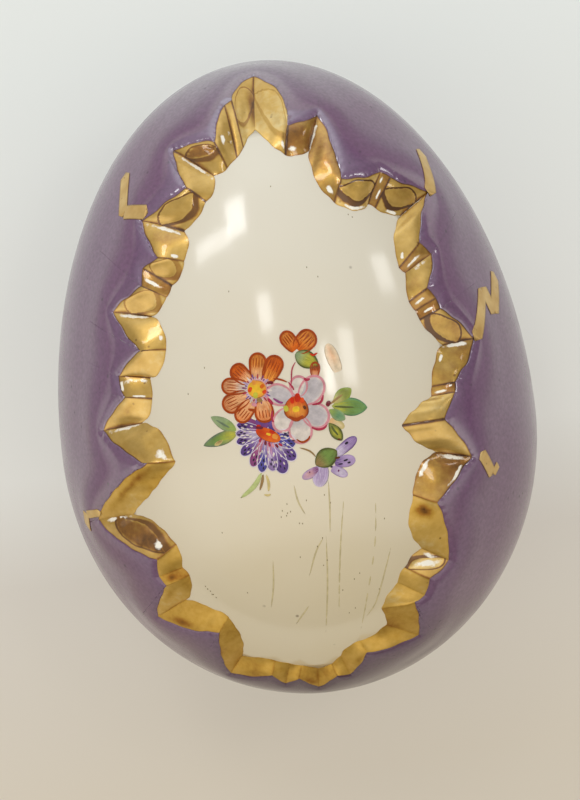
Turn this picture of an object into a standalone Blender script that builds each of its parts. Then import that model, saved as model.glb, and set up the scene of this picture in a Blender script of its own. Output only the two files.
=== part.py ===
"""A porcelain egg box: a base on a foot ring, and a lid that lifts off it.

The egg lies along Y with its pointed end at +Y, and stands on its foot ring at z = 0.
The lid is the upper half. Its window is sunk below a rim shaped like broken shell.
"""

import math

import bmesh
import bpy
import numpy as np
from mathutils import Vector

MM = 0.001

# Outside of the egg.
EGG_LENGTH = 110.0 * MM
EGG_WIDTH = 82.4 * MM
BLUNT_REACH = 45.3 * MM  # from the widest section to the blunt end

# Walls of the two halves, and the flange of the base that stands inside the lid.
LID_WALL = 3.0 * MM
LID_CROWN = 4.8 * MM  # from the egg's outside down to the lid's hollow, at the top
BASE_WALL = 3.6 * MM
SEAM_GAP = 0.3 * MM
FLANGE_GAP = 0.35 * MM
FLANGE_WALL = 2.0 * MM
FLANGE_HEIGHT = 3.0 * MM

# Foot ring under the base.
FOOT_RADIUS = 18.0 * MM
FOOT_WIDTH = 4.0 * MM
FOOT_DROP = 1.2 * MM  # how far the ring stands below the egg
FOOT_SHIFT = 7.0 * MM  # from the widest section towards the pointed end

# Heights of the lid's relief, from the egg's outside.
WINDOW_SINK = 1.8 * MM
RIM_EDGE = 0.3 * MM
RIM_LIP = 0.5 * MM
FACET_SWELL = 0.35 * MM

# The rim's creases in order round the window, in degrees. Azimuth turns from +X to +Y and
# tilt is the angle down from the lid's top. Each row holds the crease's outer end (azimuth,
# tilt), its inner end (azimuth, tilt), and the bows towards the window of the inner and outer
# edges that run from here to the next crease, as shares of those edges' lengths. Inner ends
# lie straight under these places, on the sunk window.
RIM_CREASES = (
    (-180.0, 37.6, -179.3, 30.0, 0.03, -0.04),
    (-167.0, 61.0, -165.3, 47.0, 0.15, -0.04),
    (-150.3, 46.2, -150.3, 38.8, 0.07, -0.04),
    (-146.2, 49.4, -143.0, 41.5, 0.05, -0.04),
    (-142.8, 49.2, -139.8, 42.0, 0.15, -0.04),
    (-138.8, 62.2, -135.7, 48.8, 0.09, -0.04),
    (-122.6, 51.2, -122.0, 45.5, 0.13, -0.04),
    (-115.8, 68.6, -114.4, 58.8, 0.11, -0.04),
    (-105.5, 63.0, -105.2, 56.6, 0.02, -0.04),
    (-101.7, 66.8, -101.0, 57.2, 0.03, -0.04),
    (-98.3, 63.2, -97.8, 58.0, 0.03, -0.04),
    (-93.4, 69.2, -93.2, 59.6, 0.03, -0.04),
    (-88.3, 63.2, -89.2, 58.4, 0.05, -0.04),
    (-85.0, 63.4, -86.6, 54.9, 0.15, -0.04),
    (-79.0, 55.4, -79.8, 50.9, -0.08, -0.04),
    (-64.2, 59.0, -70.8, 49.2, -0.04, -0.04),
    (-59.8, 47.2, -69.6, 43.4, 0.10, -0.04),
    (-56.0, 47.8, -60.5, 39.6, 0.08, -0.04),
    (-51.5, 45.3, -55.3, 37.5, 0.12, -0.04),
    (-43.3, 46.5, -45.8, 37.9, 0.20, -0.04),
    (-28.6, 35.3, -29.6, 28.8, 0.22, 0.02),
    (-11.3, 43.0, -10.4, 32.7, 0.07, -0.04),
    (1.3, 35.4, 1.8, 24.0, 0.05, 0.05),
    (6.8, 39.7, 7.7, 33.0, 0.05, -0.04),
    (9.0, 40.3, 10.0, 33.8, 0.14, -0.04),
    (15.2, 50.3, 17.7, 40.1, 0.05, -0.04),
    (25.0, 43.0, 26.6, 36.6, 0.05, -0.04),
    (27.6, 43.4, 29.3, 36.9, 0.05, -0.04),
    (30.8, 42.4, 32.4, 36.3, 0.11, -0.04),
    (34.8, 48.8, 37.8, 40.0, 0.05, -0.04),
    (38.9, 47.3, 40.2, 38.8, 0.14, 0.06),
    (42.3, 60.4, 46.0, 48.0, 0.05, 0.02),
    (52.0, 53.6, 53.4, 44.5, 0.00, -0.04),
    (55.0, 52.8, 55.6, 44.0, 0.16, 0.06),
    (65.4, 45.4, 66.3, 40.2, 0.18, -0.04),
    (73.7, 58.6, 75.4, 49.0, 0.12, 0.06),
    (81.8, 54.0, 82.8, 47.2, 0.06, -0.14),
    (89.6, 70.8, 91.2, 53.8, 0.00, -0.12),
    (96.1, 63.2, 95.4, 49.8, 0.05, -0.04),
    (98.2, 62.3, 98.0, 48.2, 0.05, -0.04),
    (103.2, 53.6, 101.6, 46.8, 0.12, -0.04),
    (114.4, 58.4, 106.2, 46.6, 0.18, -0.04),
    (115.2, 48.4, 111.2, 42.7, 0.06, 0.04),
    (130.0, 52.6, 121.2, 41.6, 0.22, -0.04),
    (132.3, 43.5, 126.5, 37.9, 0.18, -0.04),
    (137.4, 46.0, 134.2, 37.2, 0.10, -0.04),
    (140.7, 44.3, 137.7, 37.8, 0.17, -0.04),
    (150.0, 50.8, 145.0, 39.4, 0.18, -0.04),
    (154.0, 39.9, 149.8, 33.5, 0.17, -0.04),
    (161.7, 46.0, 159.0, 36.4, 0.10, -0.04),
    (165.6, 43.3, 164.1, 35.7, 0.17, -0.04),
    (173.3, 51.2, 170.8, 38.4, 0.18, -0.04),
)
LIP_ANGLE = 3.0  # from the rim's outer edge to the crest of the lip round it, in degrees
LIP_FOOT_ANGLE = 14.0  # from the rim's outer edge to where the lip has died away

# How finely the surfaces are cut.
FACET_STEPS = 2
EDGE_STEPS = 8  # points along each stretch of the outer edge, to measure distances from it
WINDOW_RINGS = ((0.2, 8), (0.45, 4), (0.72, 2))  # share of the way out, and spokes skipped
BAND_SHARES = (1 / 3, 2 / 3)
SIDE_STEPS = 4
HOLLOW_SHARES = (0.16, 0.34, 0.54, 0.76)
SEAM_SPREAD = 3  # creases on each side over which the seam's spokes are evened out
PLAN_ROUNDS = 6  # steps that bring the window's edge straight under its place on the egg
BASE_SPOKES = 64
BASE_SHARES = (0.16, 0.34, 0.52, 0.70, 0.86, 1.0)

HALF_WIDTH = EGG_WIDTH / 2
POINTED_REACH = EGG_LENGTH - BLUNT_REACH
WIDEST_Y = (BLUNT_REACH - POINTED_REACH) / 2  # puts the egg's ends at equal distances from the origin
SEAM_Z = HALF_WIDTH + FOOT_DROP
CENTRE = np.array((0.0, WIDEST_Y, SEAM_Z))


def reach(y):
    """Length of the egg on the side of its widest section where y lies."""
    return np.where(y > 0, POINTED_REACH, BLUNT_REACH)


def on_egg(directions, height=0.0):
    """Points of the egg's outside for unit directions, raised by a height along the surface's normal."""
    scale = np.stack([np.full(len(directions), HALF_WIDTH), reach(directions[:, 1]),
                      np.full(len(directions), HALF_WIDTH)], axis=1)
    normals = directions / scale
    normals /= np.linalg.norm(normals, axis=1, keepdims=True)
    return CENTRE + directions * scale + normals * np.reshape(height, (-1, 1))


def oval(azimuths, inset, height, narrowing=1.0):
    """A level loop set in from the egg's widest outline, at a height above the seam."""
    across = (HALF_WIDTH - inset) * narrowing * np.cos(azimuths)
    along = (reach(np.sin(azimuths)) - inset) * narrowing * np.sin(azimuths)
    return CENTRE + np.stack([across, along, np.full(len(azimuths), height)], axis=1)


def direction(azimuth, tilt):
    """Unit directions from angles in radians."""
    return np.stack([np.sin(tilt) * np.cos(azimuth), np.sin(tilt) * np.sin(azimuth), np.cos(tilt)], axis=-1)


def angle_between(first, second):
    """Angles between matching rows of two arrays of unit directions."""
    return np.arccos(np.clip(np.sum(first * second, axis=1), -1.0, 1.0))


def along_arc(first, second, share):
    """Directions at a share of the way along the arcs between two arrays of unit directions."""
    share = np.reshape(share, (-1, 1))
    angle = angle_between(first, second)[:, None]
    mixed = first * np.sin((1 - share) * angle) + second * np.sin(share * angle)
    return mixed / np.linalg.norm(mixed, axis=1, keepdims=True)


def rim_edge(azimuths, tilts, bows, count):
    """Directions round one edge of the rim, a count of them on each bowed stretch between creases."""
    corners = direction(np.radians(azimuths), np.radians(tilts))
    following = np.roll(corners, -1, axis=0)
    chords = following - corners
    steps = []
    for step in range(count):
        share = step / count
        points = along_arc(corners, following, np.full(len(corners), share))
        points += np.cross(points, chords) * (4 * share * (1 - share) * np.asarray(bows))[:, None]
        steps.append(points / np.linalg.norm(points, axis=1, keepdims=True))
    return np.stack(steps, axis=1).reshape(-1, 3)


def straight_below(directions, depth):
    """Directions whose points at a depth under the egg's outside lie straight below the given ones on it."""
    plan = on_egg(directions)[:, :2]
    lower = directions.copy()
    for _ in range(PLAN_ROUNDS):
        missing = plan - on_egg(lower, -depth)[:, :2]
        lower[:, 0] += missing[:, 0] / HALF_WIDTH
        lower[:, 1] += missing[:, 1] / reach(lower[:, 1])
        lower[:, 2] = np.sqrt(1 - lower[:, 0] ** 2 - lower[:, 1] ** 2)
    return lower


def lip_height(directions, edge):
    """Height of the swollen shell beside the rim, by distance from the rim's outer edge."""
    nearest = np.max(directions @ edge.T, axis=1)
    away = np.degrees(np.arccos(np.clip(nearest, -1.0, 1.0)))
    return np.interp(away, (0.0, LIP_ANGLE, LIP_FOOT_ANGLE), (RIM_EDGE, RIM_LIP, 0.0))


def seam_azimuths(outer):
    """Azimuths at which the spokes of the lid meet the seam: those of the rim, evened out."""
    turned = np.unwrap(np.arctan2(outer[:, 1], outer[:, 0]))
    spread = SEAM_SPREAD * FACET_STEPS
    wrapped = np.concatenate([turned[-spread:] - 2 * math.pi, turned, turned[:spread] + 2 * math.pi])
    window = np.ones(2 * spread + 1) / (2 * spread + 1)
    return np.convolve(wrapped, window, mode="valid")


def join_rings(mesh, upper, lower):
    """Faces between two rings of vertices, of which the lower has as many as the upper or twice as many."""
    count = len(upper)
    for spoke in range(count):
        after = (spoke + 1) % count
        if len(lower) == count:
            mesh.faces.new((upper[spoke], lower[spoke], lower[after], upper[after]))
        else:
            middle = lower[2 * spoke + 1]
            mesh.faces.new((upper[spoke], lower[2 * spoke], middle))
            mesh.faces.new((upper[spoke], middle, upper[after]))
            mesh.faces.new((upper[after], middle, lower[2 * after]))


def solid(name, rings, first_tip, last_tip, origin, colour, roughness):
    """One closed body from a tip, rings and another tip, as a named object."""
    mesh = bmesh.new()
    rows = []
    for ring in rings:
        rows.append([mesh.verts.new(Vector(point - origin)) for point in ring])
    start = mesh.verts.new(Vector(first_tip - origin))
    end = mesh.verts.new(Vector(last_tip - origin))
    for upper, lower in zip(rows, rows[1:]):
        join_rings(mesh, upper, lower)
    for spoke, vertex in enumerate(rows[0]):
        mesh.faces.new((start, vertex, rows[0][(spoke + 1) % len(rows[0])]))
    for spoke, vertex in enumerate(rows[-1]):
        mesh.faces.new((rows[-1][(spoke + 1) % len(rows[-1])], vertex, end))
    bmesh.ops.triangulate(mesh, faces=mesh.faces[:])
    bmesh.ops.recalc_face_normals(mesh, faces=mesh.faces[:])
    data = bpy.data.meshes.new(name)
    mesh.to_mesh(data)
    mesh.free()
    material = bpy.data.materials.new(name)
    material.use_nodes = True
    shader = material.node_tree.nodes["Principled BSDF"]
    shader.inputs["Base Color"].default_value = (*colour, 1.0)
    shader.inputs["Roughness"].default_value = roughness
    shader.inputs["Metallic"].default_value = 0.0
    data.materials.append(material)
    part = bpy.data.objects.new(name, data)
    part.location = Vector(origin)
    bpy.context.collection.objects.link(part)
    return part


def hollow_rings(edge, pole, scale, shares):
    """Rings of a hollow's wall at shares of the way from the directions of its edge to its pole."""
    poles = np.tile(pole, (len(edge), 1))
    rings = []
    for share in shares:
        rings.append(hollow_points(along_arc(edge, poles, np.full(len(edge), share)), scale))
    return rings


def hollow_points(directions, scale):
    """Points of a hollow with the given wall at the sides and crown, for unit directions."""
    side, crown = scale
    across = directions[:, 0] * (HALF_WIDTH - side)
    along = directions[:, 1] * (reach(directions[:, 1]) - side)
    up = directions[:, 2] * (HALF_WIDTH - crown)
    return CENTRE + np.stack([across, along, up], axis=1)


def build_lid():
    """Upper half of the egg, with the sunk window, the rim's facets and the lip round them."""
    creases = np.array(RIM_CREASES)
    outer = rim_edge(creases[:, 0], creases[:, 1], creases[:, 5], FACET_STEPS)
    inner = straight_below(rim_edge(creases[:, 2], creases[:, 3], creases[:, 4], FACET_STEPS), WINDOW_SINK)
    edge = rim_edge(creases[:, 0], creases[:, 1], creases[:, 5], EDGE_STEPS)
    count = len(outer)
    top = np.array((0.0, 0.0, 1.0))
    tops = np.tile(top, (count, 1))
    azimuths = seam_azimuths(outer)
    seam_tilt = math.acos(SEAM_GAP / 2 / HALF_WIDTH)
    seam = direction(azimuths, np.full(count, seam_tilt))
    within_facet = np.tile(np.arange(FACET_STEPS) / FACET_STEPS, len(creases))
    swell = FACET_SWELL * 4 * within_facet * (1 - within_facet)

    rings = []
    for share, skip in WINDOW_RINGS:
        rings.append(on_egg(along_arc(tops, inner, np.full(count, share))[::skip], -WINDOW_SINK))
    rings.append(on_egg(inner, -WINDOW_SINK))
    for share in BAND_SHARES:
        height = -WINDOW_SINK + (WINDOW_SINK + RIM_EDGE) * share + swell * 4 * share * (1 - share)
        rings.append(on_egg(along_arc(inner, outer, np.full(count, share)), height))
    rings.append(on_egg(outer, RIM_EDGE))
    side_angles = angle_between(outer, seam)
    crest = math.radians(LIP_ANGLE) / side_angles
    foot = math.radians(LIP_FOOT_ANGLE) / side_angles
    side_shares = [crest]
    for step in range(SIDE_STEPS + 1):
        side_shares.append(foot + (1 - foot) * step / SIDE_STEPS)
    for share in side_shares:
        beside = along_arc(outer, seam, share)
        rings.append(on_egg(beside, lip_height(beside, edge)))
    hollow = (LID_WALL, LID_CROWN)
    hollow_edge = direction(azimuths, np.full(count, math.acos(SEAM_GAP / 2 / (HALF_WIDTH - LID_CROWN))))
    rings.append(hollow_points(hollow_edge, hollow))
    beside_flange = math.asin(FLANGE_HEIGHT / (HALF_WIDTH - LID_CROWN)) / (math.pi / 2)
    rings.extend(hollow_rings(hollow_edge, top, hollow, (beside_flange, *HOLLOW_SHARES)))
    first_tip = on_egg(top[None], -WINDOW_SINK)[0]
    last_tip = hollow_points(top[None], hollow)[0]
    solid("lid", rings, first_tip, last_tip, CENTRE, colour=(0.17, 0.09, 0.22), roughness=0.18)


def build_base():
    """Lower half of the egg, with its foot ring, its hollow and the flange that keeps the lid in place."""
    azimuths = np.arange(BASE_SPOKES) * 2 * math.pi / BASE_SPOKES
    bottom = np.array((0.0, 0.0, -1.0))

    def foot_loop(radius):
        across = radius * np.cos(azimuths)
        along = FOOT_SHIFT + radius * np.sin(azimuths)
        return across, along

    def under_egg(across, along):
        sideways = np.stack([across / HALF_WIDTH, along / reach(along)], axis=1)
        down = -np.sqrt(1 - np.sum(sideways ** 2, axis=1))
        return np.concatenate([sideways, down[:, None]], axis=1)

    def on_floor(across, along):
        return np.stack([across, WIDEST_Y + along, np.zeros(len(across))], axis=1)

    inside = foot_loop(FOOT_RADIUS - FOOT_WIDTH)
    outside = foot_loop(FOOT_RADIUS)
    foot_top = under_egg(*outside)
    seam_tilt = math.acos(-SEAM_GAP / 2 / HALF_WIDTH)
    seam = direction(azimuths, np.full(BASE_SPOKES, seam_tilt))
    rings = [on_egg(under_egg(*inside)), on_floor(*inside), on_floor(*outside), on_egg(foot_top)]
    for share in BASE_SHARES:
        rings.append(on_egg(along_arc(foot_top, seam, np.full(BASE_SPOKES, share))))

    flange_inset = LID_WALL + FLANGE_GAP
    narrowing = math.sqrt(1 - (FLANGE_HEIGHT / (HALF_WIDTH - LID_CROWN)) ** 2)
    tip_inset = flange_inset + (1 - narrowing) * POINTED_REACH
    bore_inset = tip_inset + FLANGE_WALL
    rings.append(oval(azimuths, flange_inset, -SEAM_GAP / 2))
    rings.append(oval(azimuths, tip_inset, FLANGE_HEIGHT))
    bore = oval(azimuths, bore_inset, FLANGE_HEIGHT)
    rings.append(bore)
    sides = bore - CENTRE
    sideways = np.stack([sides[:, 0] / (HALF_WIDTH - BASE_WALL),
                         sides[:, 1] / (reach(sides[:, 1]) - BASE_WALL)], axis=1)
    down = -np.sqrt(1 - np.sum(sideways ** 2, axis=1))
    hollow_edge = np.concatenate([sideways, down[:, None]], axis=1)
    hollow = (BASE_WALL, BASE_WALL)
    rings.append(hollow_points(hollow_edge, hollow))
    rings.extend(hollow_rings(hollow_edge, bottom, hollow, HOLLOW_SHARES))
    first_tip = on_egg(under_egg(np.zeros(1), np.full(1, FOOT_SHIFT)))[0]
    last_tip = hollow_points(bottom[None], hollow)[0]
    solid("base", rings, first_tip, last_tip, np.zeros(3), colour=(0.17, 0.09, 0.22), roughness=0.18)


for old in list(bpy.data.objects):
    bpy.data.objects.remove(old, do_unlink=True)
build_base()
build_lid()
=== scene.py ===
"""A porcelain egg box with a painted window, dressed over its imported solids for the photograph's view.

The egg lies along Y with its pointed end at +Y. The lid is the upper half, so the camera looks down on it.
"""

import math
from collections import namedtuple

import bmesh
import bpy
import numpy as np
from mathutils import Matrix, Vector


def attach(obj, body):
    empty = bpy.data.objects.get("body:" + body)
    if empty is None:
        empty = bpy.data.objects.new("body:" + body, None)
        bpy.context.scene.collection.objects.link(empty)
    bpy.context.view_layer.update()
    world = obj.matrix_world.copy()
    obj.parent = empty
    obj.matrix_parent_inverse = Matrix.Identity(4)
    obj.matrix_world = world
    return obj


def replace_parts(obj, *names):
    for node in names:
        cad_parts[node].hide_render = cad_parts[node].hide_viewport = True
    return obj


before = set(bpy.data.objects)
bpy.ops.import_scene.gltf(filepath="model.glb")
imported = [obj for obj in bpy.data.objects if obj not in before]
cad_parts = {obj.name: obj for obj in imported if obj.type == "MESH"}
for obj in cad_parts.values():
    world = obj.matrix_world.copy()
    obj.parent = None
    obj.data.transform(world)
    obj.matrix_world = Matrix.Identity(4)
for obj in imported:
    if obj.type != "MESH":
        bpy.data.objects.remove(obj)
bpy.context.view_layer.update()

MM = 0.001

# Outside of the egg.
EGG_LENGTH = 110.0 * MM
EGG_WIDTH = 82.4 * MM
BLUNT_REACH = 45.3 * MM  # from the widest section to the blunt end

# Walls of the two halves, and the flange of the base that stands inside the lid.
LID_WALL = 3.0 * MM
LID_CROWN = 4.8 * MM  # from the egg's outside down to the lid's hollow, at the top
BASE_WALL = 3.6 * MM
SEAM_GAP = 0.3 * MM
FLANGE_GAP = 0.35 * MM
FLANGE_WALL = 2.0 * MM
FLANGE_HEIGHT = 3.0 * MM
SEAM_ROUND = 0.35 * MM
FLANGE_ROUND = 0.5 * MM

# Foot ring under the base.
FOOT_RADIUS = 18.0 * MM
FOOT_WIDTH = 4.0 * MM
FOOT_DROP = 1.2 * MM  # how far the ring stands below the egg
FOOT_SHIFT = 7.0 * MM  # from the widest section towards the pointed end
FOOT_ROUND = 0.5 * MM

# Heights of the lid's relief, from the egg's outside.
WINDOW_SINK = 1.8 * MM
RIM_EDGE = 0.15 * MM
RIM_LIP = 0.6 * MM
TOOTH_RISE = 0.45 * MM  # how far creases that point to the window stand up, and those that point away sink
TOOTH_TILT = 8.0  # degrees by which a full tooth departs from its neighbours
VALLEY_STEEPNESS = 3.0  # how sharply a facet climbs out of a sunk crease
BAND_EASE = 0.25  # how far the band's slope flattens at its two edges, as a share
LENS_DEPTH = 0.12 * MM
LENS_RING = 0.45 * MM  # painted shade, a brown line round a lens
LENS_SHADE = 2.0  # times as wide on the window's side, and as many times narrower on the other
FAR_FROM_LENS = 10.0 * MM  # for facets without one
LENS_SOFT = 0.2 * MM  # over which a lens's edge fades
WINDOW_BED = 0.2 * MM  # how far the porcelain lies under the window's glaze

# Facets of the rim are named by their first crease, counted from nought in the table of creases.
# Facets hollowed to a lens: the share of the way up the band where its middle lies, the widest share of
# the band that it takes, the tone of the gold inside, a painted reflection, how brown its outline is, a
# painted shade, and the share of the band that it climbs from its first end to its last.
Lens = namedtuple("Lens", "facet middle reach inside ring slant", defaults=(0.0,))
LENSES = (
    Lens(1, 0.50, 0.62, 0.22, 0.8),
    Lens(18, 0.50, 0.60, 0.80, 0.9, 0.7),
    Lens(25, 0.52, 0.72, 0.62, 1.0),
    Lens(31, 0.56, 0.62, 0.62, 1.0),
    Lens(33, 0.58, 0.60, 0.62, 1.0),
    Lens(36, 0.62, 0.60, 0.80, 0.4),
    Lens(37, 0.60, 0.62, 0.75, 0.6),
    Lens(40, 0.70, 0.36, 0.15, 0.8),
    Lens(42, 0.58, 0.64, 0.62, 0.9),
    Lens(44, 0.55, 0.80, 0.64, 0.6),
    Lens(46, 0.55, 0.80, 0.64, 0.6),
)
# Painted reflection: facets given a pale tone, as if they mirrored a bright table.
PAINTED_PALE_REFLECTION_FACETS = (0, 2, 4, 16, 17, 19, 21, 22, 25, 31, 33, 36, 37, 42, 44, 46, 48, 50, 51)
# Painted shade: narrow facets and folds given a dark tone.
PAINTED_SHADE_FACETS = (20, 23, 26, 27, 29, 32, 34, 35, 45)
DULL_FACETS = (0, *range(2, 18), 19)  # painted rather than burnished, and with soft creases

# Painted glints, white spots of the band: the facet, the shares of the way along it and up the band where
# the spot's middle lies, and the shares of both that it reaches on each side.
PAINTED_GLINT_SPOTS = (
    (1, 0.85, 0.42, 0.15, 0.20), (18, 0.55, 0.52, 0.55, 0.28), (20, 0.55, 0.10, 0.45, 0.09),
    (20, 0.60, 0.92, 0.40, 0.08), (23, 0.35, 0.40, 0.25, 0.40), (23, 0.75, 0.75, 0.20, 0.15),
    (24, 0.60, 0.14, 0.16, 0.10), (26, 0.45, 0.50, 0.22, 0.45), (27, 0.55, 0.40, 0.22, 0.35),
    (29, 0.50, 0.40, 0.20, 0.45), (30, 0.10, 0.20, 0.12, 0.12), (31, 0.45, 0.07, 0.45, 0.09),
    (32, 0.35, 0.40, 0.22, 0.35), (32, 0.65, 0.75, 0.20, 0.20), (33, 0.50, 0.07, 0.50, 0.09),
    (34, 0.15, 0.20, 0.12, 0.14), (35, 0.80, 0.20, 0.25, 0.12), (36, 0.10, 0.20, 0.10, 0.14),
    (39, 0.55, 0.55, 0.25, 0.20), (43, 0.90, 0.35, 0.10, 0.20), (45, 0.50, 0.60, 0.22, 0.40),
    (47, 0.75, 0.14, 0.16, 0.10), (49, 0.16, 0.24, 0.16, 0.24), (49, 0.45, 0.92, 0.40, 0.10),
    (49, 0.90, 0.45, 0.10, 0.40), (51, 0.85, 0.28, 0.14, 0.26),
)

# Painted dark reflections and shade, brown spots of the band, in the same way, and how brown they are.
PAINTED_DARK_SPOTS = (
    (0, 0.50, 0.68, 0.55, 0.22, 0.60), (3, 0.50, 0.60, 0.50, 0.30, 0.50),
    (4, 0.35, 0.70, 0.35, 0.25, 0.45), (5, 0.35, 0.82, 0.32, 0.20, 0.65),
    (10, 0.50, 0.80, 0.60, 0.30, 0.40), (13, 0.60, 0.80, 0.40, 0.25, 0.40),
    (19, 0.82, 0.40, 0.18, 0.48, 1.20), (20, 0.75, 0.55, 0.25, 0.35, 0.35),
    (37, 0.10, 0.45, 0.32, 0.65, 0.85), (48, 0.41, 0.62, 0.30, 0.24, 0.40),
    (50, 0.40, 0.60, 0.40, 0.25, 0.50),
)

# Tone of the gold, from 0 for brown to 1 for pale.
PLAIN_TONE = 0.55
# Painted reflection: tone of the pale facets.
PAINTED_PALE_REFLECTION_TONE = 0.74
# Painted shade: tone of the dark facets.
PAINTED_SHADE_FACET_TONE = 0.36
# Painted shade: tone of the brown in folds, along edges and in dark spots.
PAINTED_SHADE_TONE = 0.05
CREASE_PAINTED_SHADE = 0.35 * MM  # painted shade, brown along every crease
VALLEY_PAINTED_SHADE = 1.0 * MM  # more painted shade on the upper side of a sunk crease
# Painted shade along the band's edges.
EDGE_PAINTED_SHADE = 0.35 * MM
INNER_PAINTED_SHADE = 0.4  # painted shade at the band's inner edge, as a share of that at its outer edge
PAINTED_GLINT_FROM = 0.30 * MM  # from a sunk crease to the painted glint, a white streak on its lower side
# Painted glint: width of the white streak.
PAINTED_GLINT_WIDTH = 0.90 * MM
PAINTED_GLINT_DROP = 1.6 * MM  # how much lower than the facet across the crease one must lie to have a painted glint streak
DULL_SPREAD = 6  # spokes on each side over which dull and bright gold blend
DULL_RELIEF = 0.3  # relief of dull facets as a share of that of bright ones
DULL_PAINTED_SHADE = 0.2  # painted shade of their borders, in the same way

# Thicknesses of what lies on the porcelain.
GLAZE = 0.05 * MM
GOLD = 0.09 * MM
ENAMEL = 0.012 * MM
ENAMEL_ROOT = 0.03 * MM  # how far a brush mark reaches down into the glaze

# The rim's creases in order round the window, in degrees. Azimuth turns from +X to +Y and
# tilt is the angle down from the lid's top. Each row holds the crease's outer end (azimuth,
# tilt), its inner end (azimuth, tilt), and the bows towards the window of the inner and outer
# edges that run from here to the next crease, as shares of those edges' lengths. Inner ends
# lie straight under these places, on the sunk window.
RIM_CREASES = (
    (-180.0, 37.6, -179.3, 30.0, 0.03, -0.04),
    (-167.0, 61.0, -165.3, 47.0, 0.15, -0.04),
    (-150.3, 46.2, -150.3, 38.8, 0.07, -0.04),
    (-146.2, 49.4, -143.0, 41.5, 0.05, -0.04),
    (-142.8, 49.2, -139.8, 42.0, 0.15, -0.04),
    (-138.8, 62.2, -135.7, 48.8, 0.09, -0.04),
    (-122.6, 51.2, -122.0, 45.5, 0.13, -0.04),
    (-115.8, 68.6, -114.4, 58.8, 0.11, -0.04),
    (-105.5, 63.0, -105.2, 56.6, 0.02, -0.04),
    (-101.7, 66.8, -101.0, 57.2, 0.03, -0.04),
    (-98.3, 63.2, -97.8, 58.0, 0.03, -0.04),
    (-93.4, 69.2, -93.2, 59.6, 0.03, -0.04),
    (-88.3, 63.2, -89.2, 58.4, 0.05, -0.04),
    (-85.0, 63.4, -86.6, 54.9, 0.15, -0.04),
    (-79.0, 55.4, -79.8, 50.9, -0.08, -0.04),
    (-64.2, 59.0, -70.8, 49.2, -0.04, -0.04),
    (-59.8, 47.2, -69.6, 43.4, 0.10, -0.04),
    (-56.0, 47.8, -60.5, 39.6, 0.08, -0.04),
    (-51.5, 45.3, -55.3, 37.5, 0.12, -0.04),
    (-43.3, 46.5, -45.8, 37.9, 0.20, -0.04),
    (-28.6, 35.3, -29.6, 28.8, 0.22, 0.02),
    (-11.3, 43.0, -10.4, 32.7, 0.07, -0.04),
    (1.3, 35.4, 1.8, 24.0, 0.05, 0.05),
    (6.8, 39.7, 7.7, 33.0, 0.05, -0.04),
    (9.0, 40.3, 10.0, 33.8, 0.14, -0.04),
    (15.2, 50.3, 17.7, 40.1, 0.05, -0.04),
    (25.0, 43.0, 26.6, 36.6, 0.05, -0.04),
    (27.6, 43.4, 29.3, 36.9, 0.05, -0.04),
    (30.8, 42.4, 32.4, 36.3, 0.11, -0.04),
    (34.8, 48.8, 37.8, 40.0, 0.05, -0.04),
    (38.9, 47.3, 40.2, 38.8, 0.14, 0.06),
    (42.3, 60.4, 46.0, 48.0, 0.05, 0.02),
    (52.0, 53.6, 53.4, 44.5, 0.00, -0.04),
    (55.0, 52.8, 55.6, 44.0, 0.16, 0.06),
    (65.4, 45.4, 66.3, 40.2, 0.18, -0.04),
    (73.7, 58.6, 75.4, 49.0, 0.12, 0.06),
    (81.8, 54.0, 82.8, 47.2, 0.06, -0.14),
    (89.6, 70.8, 91.2, 53.8, 0.00, -0.12),
    (96.1, 63.2, 95.4, 49.8, 0.05, -0.04),
    (98.2, 62.3, 98.0, 48.2, 0.05, -0.04),
    (103.2, 53.6, 101.6, 46.8, 0.12, -0.04),
    (114.4, 58.4, 106.2, 46.6, 0.18, -0.04),
    (115.2, 48.4, 111.2, 42.7, 0.06, 0.04),
    (130.0, 52.6, 121.2, 41.6, 0.22, -0.04),
    (132.3, 43.5, 126.5, 37.9, 0.18, -0.04),
    (137.4, 46.0, 134.2, 37.2, 0.10, -0.04),
    (140.7, 44.3, 137.7, 37.8, 0.17, -0.04),
    (150.0, 50.8, 145.0, 39.4, 0.18, -0.04),
    (154.0, 39.9, 149.8, 33.5, 0.17, -0.04),
    (161.7, 46.0, 159.0, 36.4, 0.10, -0.04),
    (165.6, 43.3, 164.1, 35.7, 0.17, -0.04),
    (173.3, 51.2, 170.8, 38.4, 0.18, -0.04),
)
EDGE_SWAY = 0.2 * MM  # how far the rim's edges stray from even curves
EDGE_WAVES = (61, 97, 43)  # how often they stray on the way round
LIP_ANGLE = 3.0  # from the rim's outer edge to the crest of the lip round it, in degrees
LIP_FOOT_ANGLE = 14.0  # from the rim's outer edge to where the lip has died away
LIP_STEEPNESS = 2.5  # how sharply the lip rises from the gilded edge
RIM_EASE = 2.0  # degrees over which stretches of the rim blend in their distance
RIM_CROWD = 8.0  # degrees of the rim that count where it runs straight
FAR_FROM_RIM = 30.0  # degrees, for surfaces that lie nowhere near the rim

# Painted cracks that run on from the rim over the purple shell, leg by leg: azimuth and tilt of the start
# and of the end in degrees, and the width in millimetres.
CRACKS = (
    (41.9, 59.7, 47.7, 72.6, 2.5),
    (14.7, 50.0, 22.0, 61.1, 2.5),
    (22.0, 61.1, 16.6, 62.7, 3.0),
    (16.7, 62.6, 22.3, 72.2, 2.9),
    (-9.8, 45.2, -16.2, 51.0, 2.2),
    (-15.8, 51.1, -12.9, 52.9, 1.5),
    (127.2, 52.1, 132.3, 59.5, 2.6),
    (133.0, 58.7, 127.1, 68.7, 2.4),
    (-168.4, 58.1, -168.8, 65.7, 1.4),
    (-169.1, 65.8, -165.4, 68.6, 2.8),
)

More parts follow.
